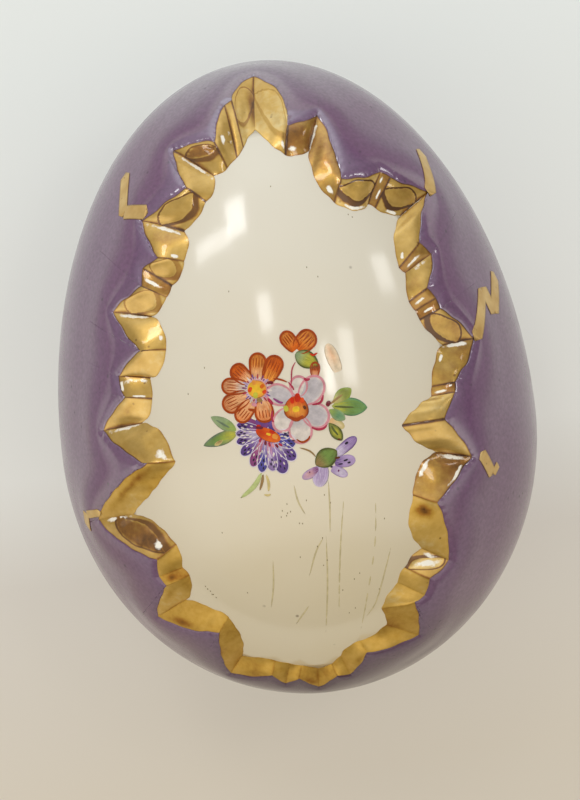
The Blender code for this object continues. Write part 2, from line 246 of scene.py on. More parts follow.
# How finely the surfaces are cut.
FACET_STEPS = 26
BAND_STEPS = 20
EDGE_STEPS = 8  # points along each stretch of the outer edge, to measure distances from it
BED_RINGS = ((0.15, 8), (0.35, 4), (0.6, 2), (0.9, 1))  # share of the way out, and rim spokes for each one
WINDOW_SPOKES = 240
WINDOW_STEPS = 24
WINDOW_SPREAD = 8  # spokes on each side over which the outline of the window's glaze is evened out
LIP_STEPS = (0.25, 0.6, 1.0, 1.5, 2.1, 2.7, 3.4, 4.2, 5.2, 6.4, 7.7, 9.0, 10.5, 12.2, 14.0)  # degrees
LIP_LIMIT = 0.9  # share of the way from the rim to the seam that those degrees may take
SIDE_STEPS = 18
ROUND_STEPS = 3
HOLLOW_STEPS = 16
HOLLOW_SKIP = 4  # spokes of the rim for each one of the lid's hollow
SEAM_SPREAD = 3  # creases on each side over which the seam's spokes are evened out
PLAN_ROUNDS = 6  # steps that bring the window's edge straight under its place on the egg
BASE_SPOKES = 192
BASE_STEPS = 24
FOOT_RINGS = (0.25, 0.5, 0.75, 0.92, 1.0)  # shares of the way to the foot's inner edge

HALF_WIDTH = EGG_WIDTH / 2
POINTED_REACH = EGG_LENGTH - BLUNT_REACH
WIDEST_Y = (BLUNT_REACH - POINTED_REACH) / 2  # puts the egg's ends at equal distances from the origin
SEAM_Z = HALF_WIDTH + FOOT_DROP
CENTRE = np.array((0.0, WIDEST_Y, SEAM_Z))
TOP = np.array((0.0, 0.0, 1.0))
BOTTOM = np.array((0.0, 0.0, -1.0))


# Shares, and the shape of the egg

def eased(share):
    """A share from 0 to 1 with gentle ends."""
    share = np.clip(share, 0.0, 1.0)
    return share * share * (3 - 2 * share)


def hump(share):
    """A rise from 0 at both ends of a share to 1 in its middle."""
    return 4 * share * (1 - share)


def crowded(count):
    """Shares from 0 to 1 that crowd towards both ends, where surfaces stay crisp but rounded."""
    return (1 - np.cos(np.linspace(0.0, math.pi, count))) / 2


def rolled(values, spread):
    """Values round a ring, turned by each step up to a spread to both sides."""
    return [np.roll(values, turn) for turn in range(-spread, spread + 1)]


def reach(y):
    """Length of the egg on the side of its widest section where y lies."""
    return np.where(y > 0, POINTED_REACH, BLUNT_REACH)


def egg_scale(directions):
    """Half sizes of the egg along X, Y and Z for each unit direction."""
    half = np.full(len(directions), HALF_WIDTH)
    return np.stack([half, reach(directions[:, 1]), half], axis=1)


def unit(vectors):
    """Vectors scaled to length one."""
    return vectors / np.linalg.norm(vectors, axis=1, keepdims=True)


def on_egg(directions, height=0.0):
    """Points of the egg's outside for unit directions, raised by a height along the surface's normal."""
    scale = egg_scale(directions)
    return CENTRE + directions * scale + unit(directions / scale) * np.reshape(height, (-1, 1))


def towards(points):
    """Unit directions of points near the egg's outside."""
    sides = points - CENTRE
    return unit(sides / egg_scale(sides))


def oval(azimuths, inset, height):
    """A level loop set in from the egg's widest outline, at a height above the seam."""
    across = (HALF_WIDTH - inset) * np.cos(azimuths)
    along = (reach(np.sin(azimuths)) - inset) * np.sin(azimuths)
    return CENTRE + np.stack([across, along, np.full(len(azimuths), height)], axis=1)


def direction(azimuth, tilt):
    """Unit directions from angles in radians."""
    azimuth, tilt = np.broadcast_arrays(azimuth, tilt)
    return np.stack([np.sin(tilt) * np.cos(azimuth), np.sin(tilt) * np.sin(azimuth), np.cos(tilt)], axis=-1)


def on_sphere(sideways, side):
    """Unit directions with the given X and Y, on the upper half for a side of 1 and the lower for -1."""
    height = side * np.sqrt(1 - np.sum(sideways ** 2, axis=1, keepdims=True))
    return np.concatenate([sideways, height], axis=1)


def angle_between(first, second):
    """Angles between matching rows of two arrays of unit directions."""
    return np.arccos(np.clip(np.sum(first * second, axis=1), -1.0, 1.0))


def along_arc(first, second, share):
    """Directions at a share of the way along the arcs between two arrays of unit directions."""
    share = np.reshape(share, (-1, 1))
    angle = angle_between(first, second)[:, None]
    mixed = first * np.sin((1 - share) * angle) + second * np.sin(share * angle)
    return unit(mixed)


def rim_edge(ends, bows, shares):
    """Directions round one edge of the rim, at the given shares of each bowed stretch between creases."""
    corners = direction(*np.radians(ends).T)
    following = np.roll(corners, -1, axis=0)
    steps = []
    for share in shares:
        points = along_arc(corners, following, share)
        steps.append(unit(points + np.cross(points, following - corners) * (hump(share) * bows)[:, None]))
    return np.stack(steps, axis=1).reshape(-1, 3)


def window_directions(plan):
    """Directions whose points on the sunk window lie at plan places, from the egg's widest section."""
    sideways = plan / egg_scale(plan)[:, :2]
    for _ in range(PLAN_ROUNDS):
        directions = on_sphere(sideways, 1)
        missing = plan - (on_egg(directions, -WINDOW_SINK) - CENTRE)[:, :2]
        sideways = sideways + missing / egg_scale(directions)[:, :2]
    return directions


def wavered(edge):
    """An edge that strays a little to both sides, as one painted by hand does."""
    tangents = unit(np.roll(edge, -1, axis=0) - np.roll(edge, 1, axis=0))
    lengths = np.cumsum(np.linalg.norm(edge - np.roll(edge, 1, axis=0), axis=1))
    turns = 2 * math.pi * lengths / lengths[-1]
    sway = sum(np.sin(waves * turns) for waves in EDGE_WAVES) / len(EDGE_WAVES)
    return unit(edge + np.cross(edge, tangents) * (EDGE_SWAY / HALF_WIDTH * sway)[:, None])


creases = np.array(RIM_CREASES)
facet_shares = crowded(FACET_STEPS + 1)[:-1]
band_shares = crowded(BAND_STEPS + 1)
outer_edge = wavered(rim_edge(creases[:, 0:2], creases[:, 5], facet_shares))
seen_edge = wavered(rim_edge(creases[:, 2:4], creases[:, 4], facet_shares))
inner_edge = window_directions((on_egg(seen_edge) - CENTRE)[:, :2])
measured_edge = rim_edge(creases[:, 0:2], creases[:, 5], np.arange(EDGE_STEPS) / EDGE_STEPS)
measured_lengths = np.degrees(angle_between(measured_edge, np.roll(measured_edge, -1, axis=0)))
within_facet = np.tile(facet_shares, len(creases))


def rim_distance(directions):
    """Angle from the rim's outer edge, in degrees, eased where two stretches of it are equally near."""
    angles = np.degrees(np.arccos(np.clip(directions @ measured_edge.T, -1.0, 1.0)))
    nearest = angles.min(axis=1)
    crowd = np.sum(measured_lengths * np.exp((nearest[:, None] - angles) / RIM_EASE), axis=1)
    blended = nearest - RIM_EASE * np.log(crowd / RIM_CROWD)
    return nearest + (blended - nearest) * eased(nearest / LIP_ANGLE)


def lip_height(directions):
    """Height of the swollen shell beside the rim."""
    away = rim_distance(directions)
    rising = RIM_LIP - (RIM_LIP - RIM_EDGE) * (1 - np.clip(away / LIP_ANGLE, 0, 1)) ** LIP_STEEPNESS
    falling = RIM_LIP * (1 - eased((away - LIP_ANGLE) / (LIP_FOOT_ANGLE - LIP_ANGLE)))
    return np.where(away < LIP_ANGLE, rising, falling)


def window_height(directions):
    """Height of the glazed window."""
    return np.full(len(directions), GLAZE - WINDOW_SINK)


def seam_azimuths():
    """Azimuths at which the spokes of the lid meet the seam: those of the rim, evened out."""
    turned = np.unwrap(np.arctan2(outer_edge[:, 1], outer_edge[:, 0]))
    spread = SEAM_SPREAD * FACET_STEPS
    wrapped = np.concatenate([turned[-spread:] - 2 * math.pi, turned, turned[:spread] + 2 * math.pi])
    window = np.ones(2 * spread + 1) / (2 * spread + 1)
    return np.convolve(wrapped, window, mode="valid")


def seam_directions(azimuths, side):
    """Directions where the outside ends at the seam, of the lid for a side of 1 and the base for -1."""
    return direction(azimuths, math.acos(side * (SEAM_GAP / 2 + SEAM_ROUND) / HALF_WIDTH))


def quarter_round():
    """Steps round a quarter turn: the share of its radius covered on one axis and left on the other."""
    turns = math.pi / 2 * np.arange(ROUND_STEPS + 1) / ROUND_STEPS
    return list(zip(1 - np.cos(turns), 1 - np.sin(turns)))


def seam_rows(azimuths, side):
    """Rings round the edge at the seam, of the lid for a side of 1 and the base for -1."""
    return [oval(azimuths, SEAM_ROUND * covered, side * (SEAM_GAP / 2 + SEAM_ROUND * left))
            for covered, left in quarter_round()[1:]]


def hollow_points(directions, side, crown):
    """Points of a hollow with the given wall at the sides and crown, for unit directions."""
    return CENTRE + directions * (egg_scale(directions) - (side, side, crown))


def hollow_rows(edge, end, side, crown):
    """Rings of a hollow from its edge towards the direction where it ends."""
    return [hollow_points(along_arc(edge, end[None], step / HOLLOW_STEPS), side, crown)
            for step in range(HOLLOW_STEPS)]


# Meshes

def bridge(upper, lower):
    """Faces between two rings of vertex numbers, of which one may have twice as many as the other."""
    if len(upper) > len(lower):
        return [face[::-1] for face in bridge(lower, upper)]
    count = len(upper)
    faces = []
    for spoke in range(count):
        after = (spoke + 1) % count
        if len(lower) == count:
            faces.append((upper[spoke], lower[spoke], lower[after], upper[after]))
        else:
            middle = lower[2 * spoke + 1]
            faces.append((upper[spoke], lower[2 * spoke], middle))
            faces.append((upper[spoke], middle, upper[after]))
            faces.append((upper[after], middle, lower[2 * after]))
    return faces


class Pile:
    """Vertices, faces and per-vertex values of one piece, gathered from closed parts."""

    def __init__(self):
        self.points = []
        self.faces = []
        self.values = {}
        self.count = 0

    def add(self, rows, tips=None, values=None):
        """One closed part: rings between two tips, or rings whose last joins the first, and point values."""
        rings = []
        start = self.count
        for row in rows:
            rings.append(list(range(start, start + len(row))))
            start += len(row)
            self.points.extend(row)
        for upper, lower in zip(rings, rings[1:]):
            self.faces.extend(bridge(upper, lower))
        if tips is None:
            self.faces.extend(bridge(rings[-1], rings[0]))
        else:
            self.points.extend(tips)
            for vertex, after in zip(rings[0], rings[0][1:] + rings[0][:1]):
                self.faces.append((start, vertex, after))
            for vertex, after in zip(rings[-1], rings[-1][1:] + rings[-1][:1]):
                self.faces.append((after, vertex, start + 1))
            start += 2
        self.count = start
        for name, column in (values or {}).items():
            self.values.setdefault(name, []).extend(column)

    def piece(self, name, material, body, slot):
        """The gathered parts as one smooth object that rides on a body."""
        mesh = bpy.data.meshes.new(name)
        mesh.from_pydata([tuple(point) for point in self.points], [], self.faces)
        for key, column in self.values.items():
            data = np.asarray(column, dtype=np.float32)
            kind, field = ("FLOAT_COLOR", "color") if data.ndim == 2 else ("FLOAT", "value")
            mesh.attributes.new(key, kind, "POINT").data.foreach_set(field, data.ravel())
        build = bmesh.new()
        build.from_mesh(mesh)
        bmesh.ops.recalc_face_normals(build, faces=build.faces[:])
        build.to_mesh(mesh)
        build.free()
        mesh.shade_smooth()
        mesh.materials.append(material)
        piece = bpy.data.objects.new(name, mesh)
        bpy.context.scene.collection.objects.link(piece)
        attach(piece, body)
        return piece


def ring_normals(rows):
    """Normals of a grid of rings with equal counts, pointing to one side of it."""
    grid = np.stack(rows)
    across = np.roll(grid, -1, axis=1) - np.roll(grid, 1, axis=1)
    along = np.gradient(grid, axis=0)
    normals = np.cross(along, across)
    return normals / np.linalg.norm(normals, axis=2, keepdims=True)


def layer(rows, over, under, tip=None, tip_normal=None):
    """Rings, and tips if there are any, of a closed layer that lies over and under a grid of rings."""
    grid = np.stack(rows)
    normals = ring_normals(rows)
    upper = list(grid + normals * over)
    lower = list(grid - normals * under)
    rings = upper + lower[::-1]
    if tip is None:
        return rings, None
    return rings, (tip + tip_normal * over, tip - tip_normal * under)


# Materials

NOISE_RANGE = (0.3, 0.7)  # values between which nearly all of a noise lies
NOISE_ROUGHNESS = 0.55

# Where the purple lustre's colours change, in degrees from the rim and in metres along the egg.
LUSTRE_PALES = (6.5, 9.5)
LUSTRE_DEEPENS = (7.5, 5.3)
RIM_DEEPENING_GROWS = (-0.036, -0.012)
# Painted sheen: the purple turns a pale lavender grey towards the pointed end.
POINTED_END_PAINTED_SHEEN = (0.044, 0.054)
# Painted shadow: the purple darkens to brown towards the blunt end.
BLUNT_END_PAINTED_SHADOW = (-0.038, -0.054)
LIP_WETS = (3.4, 2.0)
WETNESS_STARTS = (-0.03, -0.015)

IVORY_PAINTED_SHADE = (-0.05, 0.02)  # painted shade: metres along the egg over which the ivory glaze turns from a darker yellow to white

# Millimetres from a lens's edge over which its brown line of painted shade comes and goes.
RING_COMES = (-0.08, 0.04)
RING_GOES = (LENS_RING / MM + 0.2, LENS_RING / MM)

# How a brush draws its paint out: the axis of the grain, the value of the mark that runs along it, and how
# often the grain changes over that value.
BRUSH_GRAIN = (("X", "along", 1.6), ("Y", "across", 7.0), ("Z", "mark", 7.3))


def linear(red, green, blue):
    """A linear colour from the everyday 0 to 255 scale, by the standard curve of screens."""
    channels = []
    for channel in (red, green, blue):
        share = channel / 255
        channels.append(share / 12.92 if share <= 0.04045 else ((share + 0.055) / 1.055) ** 2.4)
    return (*channels, 1.0)


class Nodes:
    """A node tree with short ways to add to it. A value is a constant or another node's output."""

    def __init__(self, tree):
        self.tree = tree

    def plug(self, value, socket):
        """Puts a value on a socket."""
        if isinstance(value, bpy.types.NodeSocket):
            self.tree.links.new(value, socket)
        else:
            socket.default_value = value

    def node(self, kind, sockets, **settings):
        """Outputs of a new node with values on its sockets."""
        node = self.tree.nodes.new("ShaderNode" + kind)
        for key, setting in settings.items():
            setattr(node, key, setting)
        for key, value in sockets.items():
            self.plug(value, node.inputs[key])
        return node.outputs

    def axes(self, vector):
        """The X, Y and Z of a vector."""
        return self.node("SeparateXYZ", {"Vector": vector})

    def grey(self, value):
        """A colour whose channels all have one value."""
        return self.node("CombineXYZ", dict.fromkeys("XYZ", value))["Vector"]

    def noise(self, vector, scale, detail=3.0):
        """Clouds from 0 to 1."""
        sockets = {"Vector": vector, "Scale": scale, "Detail": detail, "Roughness": NOISE_ROUGHNESS}
        return self.node("TexNoise", sockets)["Fac"]

    def uneven(self, vector, scale, low, high, detail=3.0):
        """Clouds from a low to a high value."""
        return self.span(self.noise(vector, scale, detail), *NOISE_RANGE, low, high)

    def specks(self, vector, scale, near, far, strength):
        """Scattered specks that fade from a strength to 0 between two distances from their middles."""
        distance = self.node("TexVoronoi", {"Vector": vector, "Scale": scale})["Distance"]
        return self.span(distance, near, far, strength, 0.0)

    def value(self, name, output="Fac"):
        """A value that the mesh holds at each point."""
        return self.node("Attribute", {}, attribute_name=name)[output]

    def span(self, value, low, high, start=0.0, end=1.0):
        """A value carried from one range to another, and held inside it."""
        sockets = {"Value": value, "From Min": low, "From Max": high, "To Min": start, "To Max": end}
        return self.node("MapRange", sockets)["Result"]

    def sum(self, first, second):
        """Two values added."""
        return self.node("Math", {0: first, 1: second}, operation="ADD")["Value"]

    def product(self, first, second):
        """Two values multiplied."""
        return self.node("Math", {0: first, 1: second}, operation="MULTIPLY")["Value"]

    def ramp(self, value, *stops):
        """Colours at positions along a value."""
        node = self.tree.nodes.new("ShaderNodeValToRGB")
        elements = node.color_ramp.elements
        while len(elements) < len(stops):
            elements.new(0.5)
        for element, (position, colour) in zip(elements, stops):
            element.position = position
            element.color = colour
        self.plug(value, node.inputs["Fac"])
        return node.outputs["Color"]

    def mix(self, share, first, second, blend="MIX"):
        """Two colours mixed by a share."""
        return self.node("Mix", {0: share, 6: first, 7: second}, data_type="RGBA", blend_type=blend)[2]


class Finish(Nodes):
    """A material under construction."""

    def __init__(self, name):
        self.material = bpy.data.materials.new(name)
        self.material.use_nodes = True
        super().__init__(self.material.node_tree)
        self.shader = self.tree.nodes["Principled BSDF"]

    def place(self):
        """Coordinates that stay with the piece."""
        return self.node("TexCoord", {})["Object"]

    def set(self, **values):
        """Puts values on the shader, by socket names with underscores for spaces."""
        for key, value in values.items():
            self.plug(value, self.shader.inputs[key.replace("_", " ")])

    def bump(self, height, strength, distance):
        """Fine unevenness of the surface."""
        sockets = {"Height": height, "Strength": strength, "Distance": distance}
        self.set(Normal=self.node("Bump", sockets)["Normal"])


def purple_lustre():
    """Mauve lustre glaze with fine mottling, deeper violet beside the gilded rim, with a painted sheen
    towards the pointed end and a painted shadow towards the blunt end.
    """
    finish = Finish("purple_lustre")
    place = finish.place()
    along = finish.axes(place)["Y"]
    rim = finish.value("rim")
    from_rim = finish.sum(rim, finish.uneven(place, 120.0, -0.8, 0.8))
    rim_deepening = finish.product(finish.span(from_rim, *LUSTRE_DEEPENS, 0.0, 0.8),
                            finish.span(along, *RIM_DEEPENING_GROWS, 0.3, 1.0))
    body = finish.ramp(finish.noise(place, 45.0, 5.0), (0.30, linear(110, 82, 108)),
                       (0.52, linear(116, 88, 110)), (0.72, linear(120, 88, 104)))
    body = finish.mix(finish.span(from_rim, *LUSTRE_PALES, 0.0, 0.7), body, linear(128, 102, 124))
    body = finish.mix(rim_deepening, body, linear(106, 66, 102))
    # Painted sheen towards the pointed end.
    body = finish.mix(finish.span(along, *POINTED_END_PAINTED_SHEEN, 0.0, 0.8), body, linear(154, 144, 154))
    # Painted shadow towards the blunt end.
    body = finish.mix(finish.span(along, *BLUNT_END_PAINTED_SHADOW, 0.0, 0.8), body, linear(58, 40, 36))
    mottle = finish.grey(finish.uneven(place, 1500.0, 0.86, 1.14, 2.0))
    body = finish.mix(1.0, body, mottle, "MULTIPLY")
    pits = finish.specks(place, 260.0, 0.05, 0.10, 0.55)
    wet = finish.product(finish.span(rim, *LIP_WETS), finish.span(along, *WETNESS_STARTS))
    finish.bump(finish.noise(place, 420.0, 2.0), 0.06, 0.2 * MM)
    finish.set(Base_Color=finish.mix(pits, body, linear(62, 44, 60)), Coat_Weight=wet,
               Roughness=finish.uneven(place, 160.0, 0.14, 0.24),
               Specular_IOR_Level=0.65, Coat_Roughness=0.10, Coat_IOR=1.9)
    return finish.material


def ivory_glaze():
    """Warm white glaze with painted shade that makes it darker and yellower towards the blunt end, and with
    pinholes and brown flecks.
    """
    finish = Finish("ivory_glaze")
    place = finish.place()
    along = finish.sum(finish.axes(place)["Y"], finish.uneven(place, 30.0, -0.01, 0.01))
    # Painted shade: darker and yellower towards the blunt end.
    body = finish.ramp(finish.span(along, *IVORY_PAINTED_SHADE), (0.0, linear(216, 199, 162)),
                       (0.55, linear(221, 208, 182)), (1.0, linear(225, 216, 196)))
    flecks = finish.product(finish.specks(place, 190.0, 0.03, 0.07, 0.7),
                            finish.span(finish.noise(place, 60.0), 0.54, 0.62))
    finish.bump(finish.noise(place, 130.0, 2.0), 0.04, 0.2 * MM)
    finish.set(Base_Color=finish.mix(flecks, body, linear(120, 104, 82)), Coat_Weight=0.4,
               Roughness=finish.uneven(place, 140.0, 0.10, 0.18), Coat_Roughness=0.09)
    return finish.material


def gilding():
    """Burnished gold over porcelain, with painted shade in the folds, painted glints on them, pale and dark
    painted reflections, and duller round the blunt end.
    """
    finish = Finish("gilding")
    place = finish.place()
    cloudy = finish.uneven(place, 160.0, -0.10, 0.10, 4.0)
    smears = finish.span(finish.noise(place, 75.0), 0.52, 0.66, 0.0, -0.22)
    grain = finish.uneven(place, 1100.0, -0.06, 0.06, 2.0)
    # The tone holds painted reflections and painted shade as well as the gold's own clouds, smears and
    # grain.
    tone = finish.sum(finish.sum(finish.value("tone"), cloudy), finish.sum(smears, grain))
    beyond = finish.sum(finish.value("beyond"), finish.uneven(place, 500.0, -0.08, 0.08))
    # Painted shade: a brown line round each lens.
    ring = finish.product(finish.span(beyond, *RING_COMES), finish.span(beyond, *RING_GOES))
    ring = finish.product(ring, finish.value("ring"))
    tone = finish.product(tone, finish.span(ring, 0.0, 1.0, 1.0, 0.05))
    body = finish.ramp(tone, (0.0, linear(84, 50, 16)), (0.25, linear(156, 104, 32)),
                       (0.5, linear(194, 152, 64)), (0.75, linear(214, 174, 90)),
                       (1.0, linear(228, 206, 148)))
    worn = finish.product(finish.specks(place, 420.0, 0.06, 0.12, 0.8),
                          finish.span(finish.noise(place, 90.0), 0.52, 0.66))
    body = finish.mix(worn, body, linear(110, 66, 20))
    # Painted glints: here the gold turns white and loses its metal, with ragged edges.
    ragged = finish.uneven(place, 900.0, -0.28, 0.28)
    painted_glint = finish.span(finish.sum(finish.value("painted_glint"), ragged), 0.35, 0.65)
    shine = finish.value("shine")
    finish.bump(finish.noise(place, 350.0), 0.18, 0.3 * MM)
    finish.set(Base_Color=finish.mix(painted_glint, body, linear(250, 243, 226)),
               Metallic=finish.span(painted_glint, 0.0, 1.0, 0.75, 0.0),
               Roughness=finish.sum(finish.span(shine, 0.0, 1.0, 0.15, 0.0),
                                    finish.uneven(place, 240.0, 0.28, 0.40)),
               Coat_Weight=finish.span(shine, 0.0, 1.0, 0.0, 0.6), Coat_Roughness=0.07, Coat_IOR=1.7)
    return finish.material


def painted_gold():
    """Thin gold paint of the cracks, flatter and paler than the burnished rim, with brown edges."""
    finish = Finish("painted_gold")
    place = finish.place()
    across = finish.value("across")
    edges = finish.span(finish.product(across, across), 0.6, 0.95, 0.0, 0.45)
    body = finish.ramp(finish.noise(place, 300.0, 4.0), (0.3, linear(200, 160, 92)),
                       (0.7, linear(226, 194, 130)))
    body = finish.mix(finish.specks(place, 600.0, 0.05, 0.12, 0.6), body, linear(130, 96, 50))
    finish.bump(finish.noise(place, 900.0, 2.0), 0.15, 0.1 * MM)
    finish.set(Base_Color=finish.mix(edges, body, linear(120, 86, 46)), Metallic=0.55,
               Roughness=finish.uneven(place, 500.0, 0.34, 0.5))
    return finish.material


def bare_porcelain():
    """Unglazed white body of the foot, dry and slightly soiled."""
    finish = Finish("bare_porcelain")
    place = finish.place()
    dirt = finish.noise(place, 180.0, 5.0)
    finish.bump(finish.noise(place, 1600.0, 2.0), 0.25, 0.1 * MM)
    finish.set(Base_Color=finish.ramp(dirt, (0.35, linear(196, 184, 164)), (0.6, linear(228, 222, 210))),
               Roughness=finish.uneven(place, 700.0, 0.55, 0.75))
    return finish.material


def enamel(name, streaking):
    """Overglaze enamel: each mark's own colour, with its edge colour drawn in along the brush."""
    finish = Finish(name)
    brush = {axis: finish.product(finish.value(key), often) for axis, key, often in BRUSH_GRAIN}
    hairs = finish.noise(finish.node("CombineXYZ", brush)["Vector"], 1.8)
    drawn = finish.span(hairs, 0.48, 0.68, 0.0, streaking)
    body = finish.mix(drawn, finish.value("paint", "Color"), finish.value("streak", "Color"))
    pooling = finish.grey(finish.uneven(finish.place(), 900.0, 0.82, 1.16))
    finish.bump(hairs, 0.08, 0.03 * MM)
    finish.set(Base_Color=finish.mix(1.0, body, pooling, "MULTIPLY"),
               Roughness=finish.span(hairs, *NOISE_RANGE, 0.18, 0.30),
               Specular_IOR_Level=0.1, Coat_Weight=0.2, Coat_Roughness=0.06)
    return finish.material


# Brush marks

PAINTS = {
    "orange": (208, 98, 24), "rust": (156, 62, 12), "peach": (228, 172, 122), "amber": (222, 142, 58),
    "pale_orange": (224, 160, 106), "yellow": (226, 182, 46), "lime": (186, 178, 60),
    "vermilion": (214, 74, 24), "scarlet": (196, 44, 14), "crimson": (166, 48, 70), "wine": (112, 34, 44),
    "rose": (206, 136, 142), "brown": (100, 52, 26), "plum": (120, 58, 104), "pearl": (184, 174, 174),
    "white": (212, 199, 186), "pink": (212, 162, 162), "violet": (108, 74, 136), "indigo": (68, 52, 112),
    "blue": (84, 80, 156), "lilac": (170, 144, 182), "magenta": (142, 66, 118), "mist": (208, 194, 208),
    "ink": (44, 34, 52), "green": (116, 144, 66), "leaf": (146, 164, 66), "olive": (132, 134, 68),
    "teal": (98, 140, 98), "sage": (140, 156, 112), "moss": (88, 94, 44), "earth": (150, 118, 70),
    "straw": (206, 184, 120), "haze": (222, 198, 164), "pale_apricot": (226, 176, 132),
    "pale_green": (184, 192, 124), "slate": (108, 122, 96), "stain": (198, 182, 140),
    "fleck": (132, 116, 84),
}

# A petal or leaf in plan, in millimetres: its base and tip, its width, where along it that width lies, and
# its paints at the base, over the blade and round the edge.
Petal = namedtuple("Petal", "base tip width fullness root blade edge")

# A stroke's paint, its width in millimetres, and the points that it follows.
Stroke = namedtuple("Stroke", "paint width points")

SPRAY_PLACE = (0.1, -0.44)  # millimetres from the egg's widest section to the origin of the painting's plan

WASHES = (
    Petal((-9.0, 10.3), (-2.9, 9.8), 5.2, 0.50, "mist", "pink", "peach"),
    Petal((-9.4, 3.4), (-1.8, 0.6), 4.4, 0.50, "lilac", "lilac", "mist"),
    Petal((-1.6, 8.6), (2.6, 4.4), 4.4, 0.50, "pink", "pink", "mist"),
    Petal((-6.0, 3.7), (-9.6, 5.4), 2.2, 0.55, "plum", "violet", "magenta"),
    Petal((-5.4, 3.6), (-6.3, 5.6), 2.4, 0.50, "plum", "violet", "violet"),
    Petal((-4.3, 3.3), (-3.6, 4.8), 2.0, 0.50, "indigo", "blue", "violet"),
)
DAISY = (
    Petal((-5.6, 11.8), (-5.0, 15.6), 2.6, 0.66, "peach", "amber", "rust"),
    Petal((-4.0, 11.3), (-1.9, 14.7), 2.8, 0.66, "amber", "orange", "rust"),
    Petal((-7.1, 11.5), (-9.3, 14.0), 2.6, 0.66, "peach", "orange", "rust"),
    Petal((-7.6, 10.6), (-11.4, 11.2), 2.5, 0.66, "white", "peach", "rust"),
    Petal((-7.6, 9.2), (-11.6, 7.8), 2.9, 0.66, "peach", "pale_orange", "rust"),
    Petal((-6.9, 8.1), (-9.6, 5.5), 2.5, 0.64, "peach", "pale_orange", "orange"),
    Petal((-5.2, 8.0), (-5.2, 4.8), 2.9, 0.60, "peach", "pale_orange", "orange"),
)
BLOSSOM = (
    Petal((-0.5, 7.8), (-4.3, 9.6), 3.2, 0.54, "pearl", "pearl", "white"),
    Petal((0.7, 8.1), (1.0, 11.2), 2.7, 0.54, "white", "white", "white"),
    Petal((1.0, 7.0), (4.5, 10.5), 3.7, 0.54, "pearl", "pearl", "white"),
    Petal((1.0, 5.9), (4.8, 3.7), 3.8, 0.54, "pearl", "pearl", "white"),
    Petal((0.2, 5.0), (0.2, 0.8), 3.6, 0.56, "pearl", "white", "white"),
    Petal((-1.1, 6.3), (-3.5, 3.2), 3.0, 0.56, "pearl", "white", "white"),
)
SMALL_FLOWER = (
    Petal((1.2, 15.4), (-0.6, 18.3), 2.3, 0.62, "orange", "amber", "rust"),
    Petal((1.4, 15.4), (4.3, 17.7), 3.1, 0.60, "orange", "amber", "rust"),
    Petal((3.6, 10.9), (4.0, 13.0), 1.4, 0.60, "peach", "orange", "rust"),
)
SOFT_PETALS = (
    Petal((7.5, 11.1), (6.3, 15.7), 2.1, 0.55, "haze", "pale_apricot", "haze"),
    Petal((5.1, 3.7), (7.3, 2.3), 1.4, 0.55, "peach", "haze", "straw"),
)
LEAVES = (
    Petal((6.0, 6.3), (9.2, 8.2), 2.2, 0.52, "straw", "olive", "leaf"),
    Petal((5.7, 5.9), (11.4, 4.9), 2.9, 0.54, "lime", "green", "teal"),
    Petal((5.2, 5.4), (7.6, 3.5), 1.8, 0.55, "leaf", "teal", "sage"),
    Petal((-10.1, 4.0), (-13.9, 6.6), 1.9, 0.45, "leaf", "sage", "sage"),
    Petal((-10.1, 3.6), (-15.7, 2.2), 2.1, 0.42, "lime", "green", "slate"),
    Petal((-11.6, 3.1), (-14.1, 2.1), 1.0, 0.60, "leaf", "earth", "straw"),
)
CALYXES = (
    Petal((1.0, 14.8), (4.4, 12.5), 2.7, 0.46, "sage", "lime", "moss"),
    Petal((4.9, 3.3), (6.6, 0.4), 1.7, 0.55, "olive", "lime", "moss"),
    Petal((1.9, -3.0), (5.5, -1.2), 3.0, 0.50, "earth", "green", "moss"),
)
ASTER = (
    Petal((-6.4, 3.7), (-9.9, 4.9), 1.4, 0.60, "plum", "violet", "indigo"),
    Petal((-6.6, 3.2), (-10.2, 3.5), 1.4, 0.62, "mist", "lilac", "indigo"),
    Petal((-6.5, 2.8), (-10.3, 2.1), 1.5, 0.62, "mist", "violet", "indigo"),
    Petal((-6.3, 2.4), (-9.8, 0.1), 1.8, 0.66, "lilac", "violet", "indigo"),
    Petal((-6.0, 2.1), (-8.3, -2.0), 1.8, 0.66, "rose", "magenta", "plum"),
    Petal((-5.6, 1.9), (-6.9, -3.1), 1.8, 0.66, "lilac", "blue", "indigo"),
    Petal((-5.1, 1.7), (-5.0, -3.1), 1.9, 0.66, "rose", "lilac", "violet"),
    Petal((-4.6, 1.6), (-3.2, -3.7), 2.3, 0.70, "lilac", "violet", "indigo"),
    Petal((-4.1, 1.6), (-1.2, -1.7), 2.1, 0.66, "mist", "violet", "indigo"),
    Petal((-3.7, 1.9), (-0.8, 0.9), 2.3, 0.60, "blue", "blue", "indigo"),
    Petal((-3.6, 2.6), (-1.5, 2.4), 1.6, 0.55, "blue", "indigo", "blue"),
)
VIOLET_BUD = (
    Petal((5.4, -1.8), (9.0, 0.5), 1.8, 0.58, "mist", "lilac", "violet"),
    Petal((5.0, -3.1), (8.4, -3.0), 2.0, 0.58, "violet", "lilac", "lilac"),
    Petal((4.4, -3.9), (6.8, -5.4), 1.5, 0.55, "lilac", "mist", "lilac"),
    Petal((3.0, -3.3), (1.9, -6.6), 2.6, 0.50, "lilac", "lilac", "mist"),
    Petal((2.3, -3.7), (-0.5, -4.9), 1.5, 0.50, "plum", "pink", "lilac"),
)
FLOWER_CENTRES = (
    Petal((-7.4, 10.3), (-4.4, 9.8), 2.8, 0.50, "yellow", "yellow", "amber"),
    Petal((0.2, 8.2), (-0.2, 4.4), 4.0, 0.62, "vermilion", "amber", "rust"),
    Petal((-6.9, 3.7), (-3.2, 1.7), 2.0, 0.50, "scarlet", "vermilion", "orange"),
)
